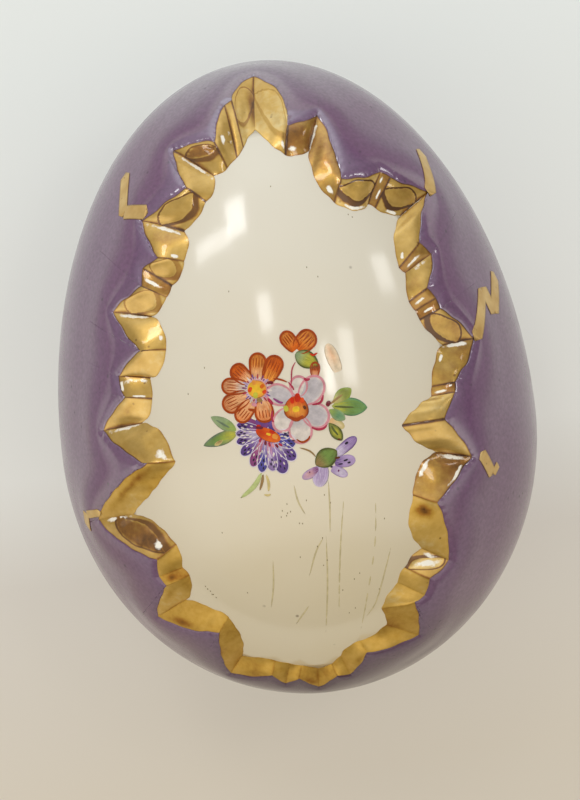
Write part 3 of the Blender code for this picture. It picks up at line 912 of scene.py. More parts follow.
CENTRE_TOUCHES = (
    Stroke("vermilion", 0.9, ((-7.3, 10.3), (-6.7, 9.9))),
    Stroke("amber", 0.8, ((-6.6, 11.1), (-5.9, 11.2))),
    Stroke("orange", 0.8, ((-5.2, 10.7), (-4.8, 10.1))),
    Stroke("vermilion", 0.7, ((-4.9, 9.8), (-4.6, 9.2))),
    Stroke("lime", 1.0, ((-6.7, 9.2), (-5.8, 9.0))),
    Stroke("earth", 0.7, ((-6.2, 8.4), (-5.2, 8.2))),
    Stroke("scarlet", 0.9, ((0.5, 8.7), (0.3, 7.1))),
    Stroke("scarlet", 0.6, ((-0.5, 8.2), (-0.5, 7.0))),
    Stroke("vermilion", 0.6, ((1.2, 7.9), (1.0, 6.9))),
    Stroke("lime", 0.8, ((-1.8, 7.0), (-1.5, 5.9))),
    Stroke("yellow", 1.2, ((-0.1, 6.7), (0.0, 5.6))),
    Stroke("rust", 0.6, ((-1.6, 5.3), (-0.2, 4.5), (1.2, 5.1))),
    Stroke("brown", 0.5, ((1.2, 6.6), (1.5, 5.9))),
    Stroke("wine", 0.5, ((-6.9, 4.1), (-5.6, 3.9))),
    Stroke("amber", 0.8, ((-4.5, 2.6), (-3.5, 2.0))),
    Stroke("yellow", 0.4, ((-5.4, 3.0), (-4.6, 2.6))),
    Stroke("crimson", 0.4, ((-6.2, 2.4), (-6.6, 1.7))),
    Stroke("wine", 0.4, ((-5.6, 1.9), (-5.7, 1.1))),
    Stroke("crimson", 0.4, ((-5.1, 1.6), (-5.0, 0.8))),
    Stroke("rose", 0.4, ((-4.6, 1.4), (-4.4, 0.6))),
    Stroke("wine", 0.4, ((-4.1, 1.2), (-3.7, 0.5))),
    Stroke("crimson", 0.4, ((-3.6, 1.2), (-3.0, 0.7))),
    Stroke("scarlet", 0.5, ((-6.8, 4.3), (-6.0, 4.2))),
    Stroke("scarlet", 0.5, ((-4.8, 3.4), (-3.9, 2.8))),
)
DAISY_TOUCHES = (
    Stroke("wine", 0.50, ((-4.2, 10.9), (-3.1, 10.7))),
    Stroke("crimson", 0.50, ((-4.4, 8.5), (-3.6, 7.3))),
    Stroke("rust", 0.45, ((-7.8, 7.1), (-6.4, 6.7))),
    Stroke("rose", 0.60, ((-7.1, 7.9), (-6.2, 7.5))),
    Stroke("rust", 0.30, ((-3.2, 11.4), (-2.0, 11.1), (-0.8, 10.5))),
)
BLOSSOM_LINES = (
    Stroke("crimson", 0.22, ((-0.3, 9.8), (-0.1, 11.4), (0.2, 12.6), (0.9, 13.6))),
    Stroke("crimson", 0.45, ((1.8, 10.9), (2.2, 10.5), (2.9, 10.6))),
    Stroke("crimson", 0.40, ((4.6, 8.0), (4.3, 7.1), (3.7, 6.6), (2.3, 6.5))),
    Stroke("crimson", 0.40, ((1.8, 3.2), (2.8, 2.6), (3.9, 2.6), (4.7, 3.2))),
    Stroke("rust", 0.35, ((-0.8, 1.6), (0.2, 0.9), (1.2, 1.2), (1.7, 1.9))),
    Stroke("magenta", 0.40, ((-3.6, 8.4), (-2.6, 7.6), (-1.9, 7.4))),
    Stroke("crimson", 0.35, ((-3.8, 6.6), (-4.1, 5.4), (-3.9, 4.4))),
    Stroke("crimson", 0.30, ((-0.8, 10.6), (-0.2, 9.7), (0.0, 9.1))),
    Stroke("scarlet", 0.35, ((3.3, 14.6), (3.8, 14.2), (4.6, 14.5))),
    Stroke("wine", 1.00, ((4.9, 6.6), (5.5, 6.1))),
)
BUD_MARKS = (
    Stroke("ink", 0.40, ((7.0, -0.35), (7.6, -0.05))),
    Stroke("ink", 0.30, ((6.4, -3.0), (7.2, -2.8))),
    Stroke("ink", 0.25, ((5.5, -3.4), (6.3, -3.4))),
    Stroke("ink", 0.30, ((7.0, -3.4), (7.6, -3.3))),
    Stroke("plum", 0.40, ((5.3, -4.4), (5.6, -4.45))),
    Stroke("plum", 0.30, ((0.7, -4.0), (0.9, -4.1))),
    Stroke("ink", 0.30, ((4.2, -3.7), (4.6, -3.6))),
)
STEMS = (
    Stroke("pale_green", 0.80, ((-6.9, -3.1), (-7.8, -4.5), (-8.9, -5.6), (-10.9, -6.9))),
    Stroke("earth", 0.45, ((-6.7, -3.4), (-7.0, -4.6), (-7.6, -6.0))),
    Stroke("straw", 0.45, ((-6.2, -3.5), (-6.0, -5.0), (-6.2, -6.3))),
    Stroke("straw", 0.35, ((-7.0, -6.7), (-6.4, -6.9), (-5.9, -6.8))),
    Stroke("earth", 0.28, ((-0.4, 0.1), (0.8, -0.4), (1.6, -1.0), (2.1, -1.8))),
    Stroke("earth", 0.35, ((5.3, 6.1), (6.6, 6.9), (7.8, 7.5))),
    Stroke("moss", 0.30, ((6.0, 5.8), (7.6, 5.5), (9.4, 5.2))),
    Stroke("moss", 0.35, ((5.2, 2.9), (5.6, 2.0), (6.2, 1.1))),
    Stroke("slate", 0.30, ((-13.2, 6.1), (-12.0, 5.2), (-11.0, 4.5))),
    Stroke("brown", 0.30, ((5.9, 0.6), (6.5, 0.5))),
    Stroke("brown", 0.35, ((5.0, -2.4), (6.0, -2.3))),
)

# Age: fine brown lines and flecks in the window's glaze.
CRAZE_WIDTH = 0.28  # millimetres
CRAZE = (
    ((3.6, -5.7), (3.3, -10.0), (2.8, -14.3)),
    ((6.0, -7.6), (4.5, -15.1), (3.4, -22.0), (2.5, -29.0)),
    ((2.1, -14.7), (1.3, -23.0), (0.0, -31.6)),
    ((1.6, -15.0), (0.1, -17.2), (-1.5, -21.2)),
    ((11.0, -8.3), (9.9, -16.9), (7.5, -26.2), (5.9, -31.8)),
    ((12.4, -18.2), (11.0, -22.0), (8.9, -27.3), (7.0, -29.7)),
    ((-7.0, -17.6), (-7.5, -22.0), (-8.4, -25.9)),
    ((-2.0, -5.8), (-1.7, -8.4), (-0.8, -10.8)),
    ((-2.2, -26.3), (-3.2, -27.5), (-4.7, -29.3)),
)
FLECK_WIDTH = 0.30  # millimetres
FLECKS = (
    (-3.7, -10.2), (-1.5, -12.2), (1.4, -15.0), (0.4, -16.3), (-2.6, -17.7), (5.7, -22.7),
    (6.7, -21.8), (3.6, -24.3), (5.3, -27.8), (4.2, -28.5), (-14.7, -12.2), (-12.0, -22.8),
    (9.6, -25.1), (11.8, -13.3), (-17.9, -22.6), (0.5, 41.9), (-8.5, 25.9), (6.2, 26.4),
    (4.6, 28.1), (13.2, 35.2), (-14.0, 14.4), (-17.2, 10.6), (12.6, 35.7), (-4.5, -9.7), (-3.9, -10.6),
    (-3.2, -10.0), (-4.8, -10.7), (-3.6, -8.7), (-0.4, -8.5), (-2.0, -12.1), (-18.8, -21.1), (-18.5, -21.6),
    (-18.1, -22.0), (-17.7, -22.6), (-17.3, -23.2), (1.0, -19.6), (1.7, -18.8), (2.6, -8.0), (3.4, -9.4),
)

# Short marks along each narrow petal of the aster: the share of the way to its tip, how far to one side as
# a share of its width, and the paint.
DASHES = (
    (0.35, -0.18, "white"), (0.48, 0.22, "white"), (0.60, -0.24, "white"), (0.62, 0.04, "ink"),
    (0.72, 0.22, "white"), (0.76, -0.10, "ink"), (0.86, 0.12, "ink"),
)
DASH_WIDTH = 0.24  # millimetres
DASH_LENGTH = 0.55  # millimetres

# Fine lines along the blades of petals: shares of the petal's width to one side, and of the way to its tip.
VEIN_SIDES = (-0.27, -0.09, 0.09, 0.27)
VEIN_SHARES = (0.38, 0.62, 0.84)

# Hatching round the daisy's centre.
HATCH_MIDDLE = (-5.9, 10.05)
HATCH_NEAR = 1.6  # millimetres
HATCH_FAR = 2.5  # millimetres
HATCH_COUNT = 32
HATCH_PAINTS = ("plum", "white", "crimson", "lilac", "violet")
HATCH_WIDTH = 0.22  # millimetres

# Forms of a petal: how wide its root is as a share of its width. A leaf is pointed at both ends.
ROUND = 0.0
LOBE = 0.5
LEAF = None

PETAL_STEPS = 18
STROKE_STEPS = 10
MARK_STEP = 0.001 * MM  # how far each mark of a piece lies over the one before
MARK_TURNS = 18  # marks of one piece before their heights start again
MARK_SHARES = np.linspace(-1.0, 1.0, 13)  # across a mark, from one edge to the other

# The number that gives a mark its own grain: the points before it, less whole cycles, over a spread.
MARK_CYCLE = 997
MARK_SPREAD = 7.0

# Shares of the way to a petal's tip over which its paints change, and the share of its outline that its
# root has.
ROOT_ENDS = (0.1, 0.6)
OUTLINE_FULL = 0.6
OUTLINE_AT_ROOT = 0.3
TIP_STARTS = 0.4

# How marks swell towards their middles, as powers: the lower, the blunter their ends.
LEAF_SWELL = 0.7
OUTLINE_SWELL = 0.6
STROKE_SWELL = 0.45

# How a petal is shaded: the width of its outline in millimetres, and the shares of its edge paint that
# cover its tip and that streak its blade.
Shading = namedtuple("Shading", "outline tip streaks")
SOFT = Shading(1.2, 0.0, 0.3)
LEAFY = Shading(0.6, 0.35, 0.6)
FIERY = Shading(0.55, 0.4, 0.9)
PEARLY = Shading(0.7, 0.0, 0.25)
STRIPED = Shading(0.4, 0.35, 0.8)


def swelling(share, power):
    """Widths along a mark that swells from nothing at both ends to 1 in its middle."""
    return np.sin(math.pi * share).clip(0) ** power


def smooth_path(points, count):
    """Evenly spread points on a smooth curve through given ones."""
    points = np.asarray(points, float)
    padded = np.concatenate([2 * points[:1] - points[1:2], points, 2 * points[-1:] - points[-2:-1]])
    places = np.linspace(0, len(points) - 1, count)
    spans = np.minimum(places.astype(int), len(points) - 2)
    share = (places - spans)[:, None]
    before, start, end, after = (padded[spans + step] for step in range(4))
    straight = end - before
    bend = 2 * before - 5 * start + 4 * end - after
    twist = 3 * (start - end) + after - before
    return start + 0.5 * share * (straight + share * (bend + share * twist))


def window_points(plan):
    """Points of the window's surface at places of the painting's plan, in millimetres."""
    directions = window_directions((np.asarray(plan, float) + SPRAY_PLACE) * MM)
    return on_egg(directions, window_height(directions))


def add_mark(pile, path, half_widths, surface, paint, lift):
    """A crowned brush mark along a path of points on a surface, with its colours and place values."""
    count = len(path)
    tangents = unit(np.gradient(path, axis=0))
    normals = unit((path - CENTRE) / egg_scale(path - CENTRE) ** 2)
    sides = unit(np.cross(normals, tangents))
    shares = np.concatenate([MARK_SHARES, MARK_SHARES[-2:0:-1]])
    top = np.arange(len(shares)) < len(MARK_SHARES)
    lengths = np.concatenate([[0.0], np.cumsum(np.linalg.norm(np.diff(path, axis=0), axis=1))])
    rows = []
    along = []
    rim = []
    for step in range(1, count - 1):
        directions = towards(path[step] + sides[step] * (shares * half_widths[step])[:, None])
        crown = ENAMEL * (1 - shares ** 2) * eased(half_widths[step] / half_widths.max())
        height = np.where(top, lift + crown, -ENAMEL_ROOT)
        rows.append(on_egg(directions, surface(directions) + height))
        along.extend(np.full(len(shares), lengths[step] / lengths[-1]))
        edge = np.minimum((1 - np.abs(shares)) * half_widths[step], lengths[-1] - lengths[step])
        rim.extend(edge / MM)
    ends = towards(path[[0, -1]])
    along = np.array(along + [0.0, 1.0])
    rim = np.array(rim + [half_widths.max() / MM, 0.0])
    across = np.concatenate([np.tile(shares, count - 2), [0.0, 0.0]])
    number = np.full(len(along), len(pile.points) % MARK_CYCLE / MARK_SPREAD)
    colours, streaks = paint(along, rim)
    pile.add(rows, on_egg(ends, surface(ends)), {
        "along": along, "across": across, "mark": number, "paint": colours, "streak": streaks})


def petal_paint(petal, shading):
    """Colours over a petal by the share of the way to its tip and the distance from its outline."""
    root, blade, edge = (np.array(linear(*PAINTS[key])) for key in (petal.root, petal.blade, petal.edge))
    root_starts, root_ends = ROOT_ENDS

    def paint(along, rim):
        colours = root + (blade - root) * eased((along - root_starts) / (root_ends - root_starts))[:, None]
        drawn = OUTLINE_AT_ROOT + (1 - OUTLINE_AT_ROOT) * eased(along / OUTLINE_FULL)
        tip = shading.tip * eased((along - TIP_STARTS) / (1 - TIP_STARTS))
        share = np.maximum(eased(1 - rim / shading.outline) * drawn, tip)
        return colours + (edge - colours) * share[:, None], np.tile(edge, (len(along), 1))
    return paint


def plain_paint(name):
    """One colour over a whole mark."""
    colour = np.array(linear(*PAINTS[name]))

    def paint(along, rim):
        colours = np.tile(colour, (len(along), 1))
        return colours, colours
    return paint


def half_profile(share, fullness, root):
    """Half width of a petal along its length, as a share of the widest."""
    if root is LEAF:
        return swelling(share ** (math.log(0.5) / math.log(fullness)), LEAF_SWELL)
    rising = root + (1 - root) * np.sqrt(1 - (1 - np.clip(share / fullness, 0, 1)) ** 2)
    return rising * np.sqrt(1 - np.clip((share - fullness) / (1 - fullness), 0, 1) ** 2)


def along_petal(petal, shares, side=0.0):
    """Plan points at shares of the way to a petal's tip, moved to one side by shares of its width."""
    base = np.array(petal.base)
    length = np.array(petal.tip) - base
    aside = np.array((-length[1], length[0])) / np.linalg.norm(length) * petal.width
    return base + np.reshape(shares, (-1, 1)) * length + np.reshape(side, (-1, 1)) * aside


def painted(name, slot, marks, lift, streaking=0.0):
    """One piece of the painting, from each mark's plan points, half widths in millimetres and paint."""
    pile = Pile()
    for number, (plan, half_widths, paint) in enumerate(marks):
        height = lift + MARK_STEP * (number % MARK_TURNS)
        add_mark(pile, window_points(plan), half_widths * MM, window_height, paint, height)
    pile.piece(name, enamel(name, streaking), "lid", slot)


def painted_petals(name, slot, petals, form, lift, shading):
    """The petals or leaves of one piece of the painting."""
    shares = crowded(PETAL_STEPS)
    marks = []
    for petal in petals:
        half_widths = petal.width / 2 * half_profile(shares, petal.fullness, form)
        marks.append((along_petal(petal, shares), half_widths, petal_paint(petal, shading)))
    painted(name, slot, marks, lift, shading.streaks)


def painted_outlines(name, slot, petals, form, lift, paint, width):
    """Strokes round petals, from the base by one side to the tip and back, with a width in millimetres."""
    shares = crowded(PETAL_STEPS)
    half_widths = width / 2 * swelling(np.linspace(0, 1, 2 * PETAL_STEPS - 1), OUTLINE_SWELL)
    marks = []
    for petal in petals:
        side = half_profile(shares, petal.fullness, form) / 2
        path = np.concatenate([along_petal(petal, shares, side), along_petal(petal, shares, -side)[-2::-1]])
        marks.append((path, half_widths, plain_paint(paint)))
    painted(name, slot, marks, lift)


def painted_strokes(name, slot, strokes, lift):
    """Brush strokes of one piece of the painting, which swell in the middle and taper at the ends."""
    taper = swelling(np.linspace(0, 1, STROKE_STEPS), STROKE_SWELL)
    marks = []
    for stroke in strokes:
        plan = smooth_path(stroke.points, STROKE_STEPS)
        marks.append((plan, stroke.width / 2 * taper, plain_paint(stroke.paint)))
    painted(name, slot, marks, lift)


def dashes(petals):
    """Short marks along narrow petals."""
    strokes = []
    for petal in petals:
        half = DASH_LENGTH / 2 / math.dist(petal.base, petal.tip)
        for share, side, paint in DASHES:
            strokes.append(Stroke(paint, DASH_WIDTH, along_petal(petal, (share - half, share + half), side)))
    return strokes


def veins(petals, paint, width):
    """Fine lines along the blades of petals, with a width in millimetres."""
    return [Stroke(paint, width, along_petal(petal, VEIN_SHARES, side))
            for petal in petals for side in VEIN_SIDES]


def hatching():
    """Strokes that radiate from the daisy's centre, long and short by turns."""
    strokes = []
    for number in range(HATCH_COUNT):
        turn = 2 * math.pi * number / HATCH_COUNT
        aim = np.array((math.cos(turn), math.sin(turn)))
        far = HATCH_FAR if number % 2 else (HATCH_NEAR + HATCH_FAR) / 2
        ends = (HATCH_MIDDLE + aim * HATCH_NEAR, HATCH_MIDDLE + aim * far)
        strokes.append(Stroke(HATCH_PAINTS[number % len(HATCH_PAINTS)], HATCH_WIDTH, ends))
    return strokes


def flecks():
    """Round specks in the glaze."""
    return [Stroke("fleck", FLECK_WIDTH, (spot, (spot[0] + FLECK_WIDTH / 2, spot[1]))) for spot in FLECKS]


# Lid

def crease_rise():
    """How far each crease points to the window, up to 1, or away from it, down to -1."""
    neighbours = (np.roll(creases[:, 1], 1) + np.roll(creases[:, 1], -1)) / 2
    return np.clip((neighbours - creases[:, 1]) / TOOTH_TILT, -1.0, 1.0)


def facet_relief():
    """Height of each spoke halfway up the band: ridges at some creases, and steep valleys at others."""
    start = crease_rise()[:, None]
    end = np.roll(start, -1, axis=0)
    from_low = np.where(start < end, facet_shares, 1 - facet_shares)
    climb = 1 - (1 - from_low) ** VALLEY_STEEPNESS
    return TOOTH_RISE * (np.minimum(start, end) + np.abs(end - start) * climb).ravel()


def facet_values(chosen, value, other):
    """One value for the spokes of chosen facets and another for the rest."""
    values = np.full(len(creases), other)
    values[list(chosen)] = value
    return np.repeat(values, FACET_STEPS)


def lens_values():
    """Each measure of the lenses at every spoke, all 0 where a facet has none."""
    values = np.zeros((len(creases), len(Lens._fields)))
    for lens in LENSES:
        values[lens.facet] = lens
    return Lens(*np.repeat(values, FACET_STEPS, axis=0).T)


def beyond_lens(share):
    """How far each spoke lies outside its facet's lens, at a share of the way up the band."""
    lens = lens_values()
    half = lens.reach / 2 * hump(within_facet)
    above = share - lens.middle - lens.slant * (within_facet - 0.5)
    band_width = np.linalg.norm(on_egg(outer_edge) - on_egg(inner_edge), axis=1)
    outside = np.clip(np.abs(above) - half, 0, None) * np.where(above < 0, 1 / LENS_SHADE, LENS_SHADE)
    inside = np.clip(half - np.abs(above), 0, None)
    return np.where(lens.reach > 0, (outside - inside) * band_width, FAR_FROM_LENS)


def brightness():
    """How bright and faceted the rim is at each spoke: less so round the blunt end."""
    return np.mean(rolled(facet_values(DULL_FACETS, 0.0, 1.0), DULL_SPREAD), axis=0)


def band_rows():
    """Rings of the gilded band from the window's edge up to the rim."""
    relief = facet_relief() * (DULL_RELIEF + (1 - DULL_RELIEF) * brightness())
    rows = []
    for share in band_shares:
        climb = share - BAND_EASE * math.sin(2 * math.pi * share) / (2 * math.pi)
        hollow = LENS_DEPTH * eased(-beyond_lens(share) / LENS_RING)
        height = -WINDOW_SINK + (WINDOW_SINK + RIM_EDGE) * climb + relief * hump(share) - hollow
        rows.append(on_egg(along_arc(inner_edge, outer_edge, share), height))
    return rows


def band_spot(facet, along, up, half_along, half_up):
    """A soft oval spot of the band, slanted as its facet's lens, from 0 round it to 1 in its middle."""
    beside = np.abs(within_facet - along) / half_along
    middle = up + lens_values().slant * (within_facet - 0.5)
    above = np.abs(band_shares[:, None] - middle) / half_up
    return facet_values((facet,), 1.0, 0.0) * eased(1 - beside) * eased(1 - above)


def band_folds(grid):
    """How brown with painted shade, and how white with painted glints, the band is along its edges and
    creases, ring by ring.
    """
    corners = grid[:, ::FACET_STEPS]
    following = np.roll(corners, -1, axis=1)
    lengths = np.repeat(np.linalg.norm(following - corners, axis=2), FACET_STEPS, axis=1)
    middles = (corners + following)[..., 1].mean(axis=0) / 2
    valleys = np.clip(-crease_rise(), 0, 1)
    swell = np.sin(math.pi * band_shares[:, None])
    inner, outer = (np.linalg.norm(grid - grid[end], axis=2) / EDGE_PAINTED_SHADE for end in (0, -1))
    # Painted shade: brown along the band's edges.
    brown = np.maximum(INNER_PAINTED_SHADE * eased(1 - inner), eased(1 - outer))
    painted_glint = np.zeros_like(brown)
    for away, valley, other in ((lengths * within_facet, valleys, np.roll(middles, 1)),
                                (lengths * (1 - within_facet), np.roll(valleys, -1), np.roll(middles, -1))):
        above = np.repeat(valley * (middles > other), FACET_STEPS)
        below = np.repeat(valley * eased((other - middles) / PAINTED_GLINT_DROP - 1), FACET_STEPS)
        # Painted shade: brown along each crease, wider on the upper side of a sunk crease.
        brown = np.maximum(brown, eased(1 - away / (CREASE_PAINTED_SHADE + VALLEY_PAINTED_SHADE * above * swell)))
        # Painted glint: a white streak on the lower side of a sunk crease.
        streak = eased(1 - np.abs(away - PAINTED_GLINT_FROM - PAINTED_GLINT_WIDTH / 2) / PAINTED_GLINT_WIDTH)
        painted_glint = np.maximum(painted_glint, below * streak * swell)
    return brown, painted_glint


def band_values(rows):
    """What the gold's look depends on at each point of the band, ring by ring."""
    whole = np.ones((len(rows), 1))
    brown, painted_glint = band_folds(np.stack(rows))
    beyond = np.stack([beyond_lens(share) for share in band_shares])
    inside = eased(-beyond / LENS_SOFT)
    # Painted shade in the folds, kept out of the lenses and fainter on dull facets.
    brown = brown * (1 - inside) * (DULL_PAINTED_SHADE + (1 - DULL_PAINTED_SHADE) * brightness())
    # Painted dark reflections and shade as brown spots.
    for *spot, strength in PAINTED_DARK_SPOTS:
        brown = np.maximum(brown, band_spot(*spot) * strength)
    # Painted glints from the creases and the spots, kept out of the lenses.
    painted_glint = painted_glint * (1 - inside)
    for spot in PAINTED_GLINT_SPOTS:
        painted_glint = np.maximum(painted_glint, band_spot(*spot))
    # Painted reflections and shade: pale and dark tones by facet, and each lens's own inside.
    tones = facet_values(PAINTED_PALE_REFLECTION_FACETS, PAINTED_PALE_REFLECTION_TONE, PLAIN_TONE)
    tones = np.where(facet_values(PAINTED_SHADE_FACETS, True, False), PAINTED_SHADE_FACET_TONE, tones)
    tones = tones + (lens_values().inside - tones) * inside
    return {"tone": tones + (PAINTED_SHADE_TONE - tones) * brown, "painted_glint": painted_glint * brightness(),
            "beyond": beyond / MM, "ring": lens_values().ring * whole, "shine": brightness() * whole}


def window_outline():
    """Directions of an even oval that takes in the window's zigzag edge, under the gilding."""
    places = np.arctan2(inner_edge[:, 1], inner_edge[:, 0]) / (2 * math.pi) * WINDOW_SPOKES
    reached = np.zeros(WINDOW_SPOKES)
    np.maximum.at(reached, np.round(places).astype(int) % WINDOW_SPOKES, np.arccos(inner_edge[:, 2]))
    widest = np.max(rolled(reached, WINDOW_SPREAD), axis=0)
    tilts = np.mean(rolled(widest, WINDOW_SPREAD), axis=0)
    return direction(np.arange(WINDOW_SPOKES) * 2 * math.pi / WINDOW_SPOKES, tilts)


def build_lid_shell(band, hollow, hollow_tip):
    """The lid's porcelain: the bed of the window, the band, the lip and side, the seam and the hollow."""
    azimuths = seam_azimuths()
    bed = [on_egg(along_arc(TOP[None], inner_edge, share)[::skip], -WINDOW_SINK - WINDOW_BED)
           for share, skip in BED_RINGS]
    seam = seam_directions(azimuths, 1)
    side_angles = np.degrees(angle_between(outer_edge, seam))
    shares = [np.minimum(step / side_angles, LIP_LIMIT) for step in LIP_STEPS]
    last = shares[-1]
    shares.extend(last + (1 - last) * step / SIDE_STEPS for step in range(1, SIDE_STEPS + 1))
    sides = [along_arc(outer_edge, seam, share) for share in shares]
    inner_seam = oval(azimuths, LID_WALL / 2, SEAM_GAP / 2)[::HOLLOW_SKIP // 2]
    inside = seam_rows(azimuths, 1) + [inner_seam] + hollow
    rims = [np.zeros(len(row)) for row in bed + band]
    rims.extend(rim_distance(beside) for beside in sides)
    rims.append(np.full(sum(len(row) for row in inside) + 2, FAR_FROM_RIM))
    rows = bed + band + [on_egg(beside, lip_height(beside)) for beside in sides] + inside
    shell = Pile()
    bed_tip = on_egg(TOP[None], -WINDOW_SINK - WINDOW_BED)[0]
    shell.add(rows, (bed_tip, hollow_tip), {"rim": np.concatenate(rims)})
    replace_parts(shell.piece("lid_shell", purple_lustre(), "lid", "purple_lustre"), "lid")


def build_window():
    """The window's glaze, as an oval layer over and under the sunk porcelain's level."""
    outline = window_outline()
    rings = [along_arc(TOP[None], outline, step / WINDOW_STEPS) for step in range(1, WINDOW_STEPS + 1)]
    over = [on_egg(ring, GLAZE - WINDOW_SINK) for ring in rings]
    under = [on_egg(ring, -GLAZE - WINDOW_SINK) for ring in reversed(rings)]
    window = Pile()
    window.add(over + under, [on_egg(TOP[None], side - WINDOW_SINK)[0] for side in (GLAZE, -GLAZE)])
    window.piece("lid_window", ivory_glaze(), "lid", "ivory_glaze")


def build_lid():
    """The lid's porcelain, its window glaze, its lining and its gilding."""
    band = band_rows()
    hollow_edge = direction(seam_azimuths(), math.acos(SEAM_GAP / 2 / (HALF_WIDTH - LID_CROWN)))
    hollow = hollow_rows(hollow_edge[::HOLLOW_SKIP], TOP, LID_WALL, LID_CROWN)
    hollow_tip = hollow_points(TOP[None], LID_WALL, LID_CROWN)[0]
    build_lid_shell(band, hollow, hollow_tip)
    build_window()

    lining = Pile()
    lining.add(*layer(hollow, GLAZE, GLAZE, hollow_tip, BOTTOM))
    lining.piece("lid_lining", ivory_glaze(), "lid", "ivory_glaze")

    gold = Pile()
    values = {key: np.concatenate([rings, rings[::-1]]).ravel() for key, rings in band_values(band).items()}
    gold.add(layer(band, GOLD, GOLD)[0], None, values)
    gold.piece("lid_gilding", gilding(), "lid", "gilding")


def build_cracks():
    """Gold strokes on the purple shell, one straight mark for each leg of a crack."""
    pile = Pile()
    for *ends, width in CRACKS:
        ends = on_egg(direction(*np.radians(np.reshape(ends, (2, 2))).T))
        path = towards(smooth_path(ends, STROKE_STEPS))
        half_widths = np.full(STROKE_STEPS, width * MM / 2)
        add_mark(pile, on_egg(path, lip_height(path)), half_widths, lip_height, plain_paint("straw"), GOLD)
    pile.piece("lid_cracks", painted_gold(), "lid", "gilding")


def build_spray():
    """The painting on the window, from the lowest paint to the highest."""
    # Heights of the coats over the window's glaze.
    wash = 0.006 * MM
    low = 0.022 * MM
    middle = 0.045 * MM
    lines = 0.070 * MM
    high = 0.090 * MM
    top = 0.105 * MM
    age = [Stroke("stain", CRAZE_WIDTH, points) for points in CRAZE] + flecks()
    painted_strokes("lid_craze", "ivory_glaze", age, wash)
    painted_petals("spray_washes", "enamel_lilac", WASHES, ROUND, wash, SOFT)
    painted_petals("soft_petals", "enamel_orange", SOFT_PETALS, LOBE, wash, SOFT)
    painted_petals("spray_leaves", "enamel_green", LEAVES, LEAF, low, LEAFY)
    painted_petals("aster_petals", "enamel_violet", ASTER, LOBE, low, STRIPED)
    painted_outlines("aster_outlines", "enamel_lilac", ASTER, LOBE, middle, "mist", width=0.14)
    painted_strokes("aster_dashes", "enamel_violet", dashes(ASTER), lines)
    painted_petals("violet_bud_petals", "enamel_lilac", VIOLET_BUD, LOBE, low, STRIPED)
    painted_strokes("violet_bud_marks", "enamel_violet", BUD_MARKS, lines)
    painted_petals("spray_calyxes", "enamel_green", CALYXES, LEAF, middle, LEAFY)
    painted_outlines("calyx_outlines", "enamel_green", CALYXES, LEAF, lines, "moss", width=0.2)
    painted_petals("daisy_petals", "enamel_orange", DAISY, LOBE, middle, FIERY)
    painted_strokes("daisy_veins", "enamel_orange", veins(DAISY, "rust", width=0.16), lines)
    painted_outlines("daisy_outlines", "enamel_orange", DAISY, LOBE, lines, "rust", width=0.36)
    painted_petals("blossom_petals", "ivory_glaze", BLOSSOM, ROUND, middle, PEARLY)
    painted_outlines("blossom_outlines", "enamel_crimson", BLOSSOM, ROUND, lines, "rose", width=0.4)
    painted_petals("small_flower_petals", "enamel_orange", SMALL_FLOWER, LOBE, low, FIERY)
    painted_strokes("small_flower_veins", "enamel_orange", veins(SMALL_FLOWER, "rust", width=0.2), lines)
    painted_outlines("small_flower_outlines", "enamel_orange", SMALL_FLOWER, LOBE, lines, "rust", width=0.34)
    painted_strokes("daisy_hatching", "enamel_crimson", hatching(), lines)
    painted_petals("flower_centres", "enamel_yellow", FLOWER_CENTRES, ROUND, high, SOFT)
    painted_strokes("spray_stems", "enamel_green", STEMS, lines)
    painted_strokes("daisy_touches", "enamel_crimson", DAISY_TOUCHES, high)
    painted_strokes("blossom_lines", "enamel_crimson", BLOSSOM_LINES, high)
    painted_strokes("centre_touches", "enamel_crimson", CENTRE_TOUCHES, top)


# Base

base_azimuths = np.arange(BASE_SPOKES) * 2 * math.pi / BASE_SPOKES


def foot_plan(radius):
    """Plan places on a ring about the foot's middle, from the egg's widest section."""
    return radius * direction(base_azimuths, math.pi / 2)[:, :2] + (0.0, FOOT_SHIFT)


def under_egg(plan):
    """Unit directions of the egg's underside at plan places."""
    return on_sphere(plan / egg_scale(plan)[:, :2], -1)


def foot_ring(radius, height):
    """A level ring of points about the foot's middle."""
    level = np.full((BASE_SPOKES, 1), height)
    return np.concatenate([foot_plan(radius) + (0.0, WIDEST_Y), level], axis=1)


def base_outside():
    """Rings from the middle of the foot over its ring and up the egg to the seam."""
    inside = FOOT_RADIUS - FOOT_WIDTH
    rows = [on_egg(under_egg(foot_plan(inside * share))) for share in FOOT_RINGS]
    for covered, left in quarter_round():
        rows.append(foot_ring(inside + FOOT_ROUND * covered, GLAZE + FOOT_ROUND * left))
    for covered, left in quarter_round():
        rows.append(foot_ring(FOOT_RADIUS - FOOT_ROUND * left, GLAZE + FOOT_ROUND * covered))
    foot_top = under_egg(foot_plan(FOOT_RADIUS))
    seam = seam_directions(base_azimuths, -1)
    for step in range(BASE_STEPS + 1):
        rows.append(on_egg(along_arc(foot_top, seam, step / BASE_STEPS)))
    return rows + seam_rows(base_azimuths, -1)


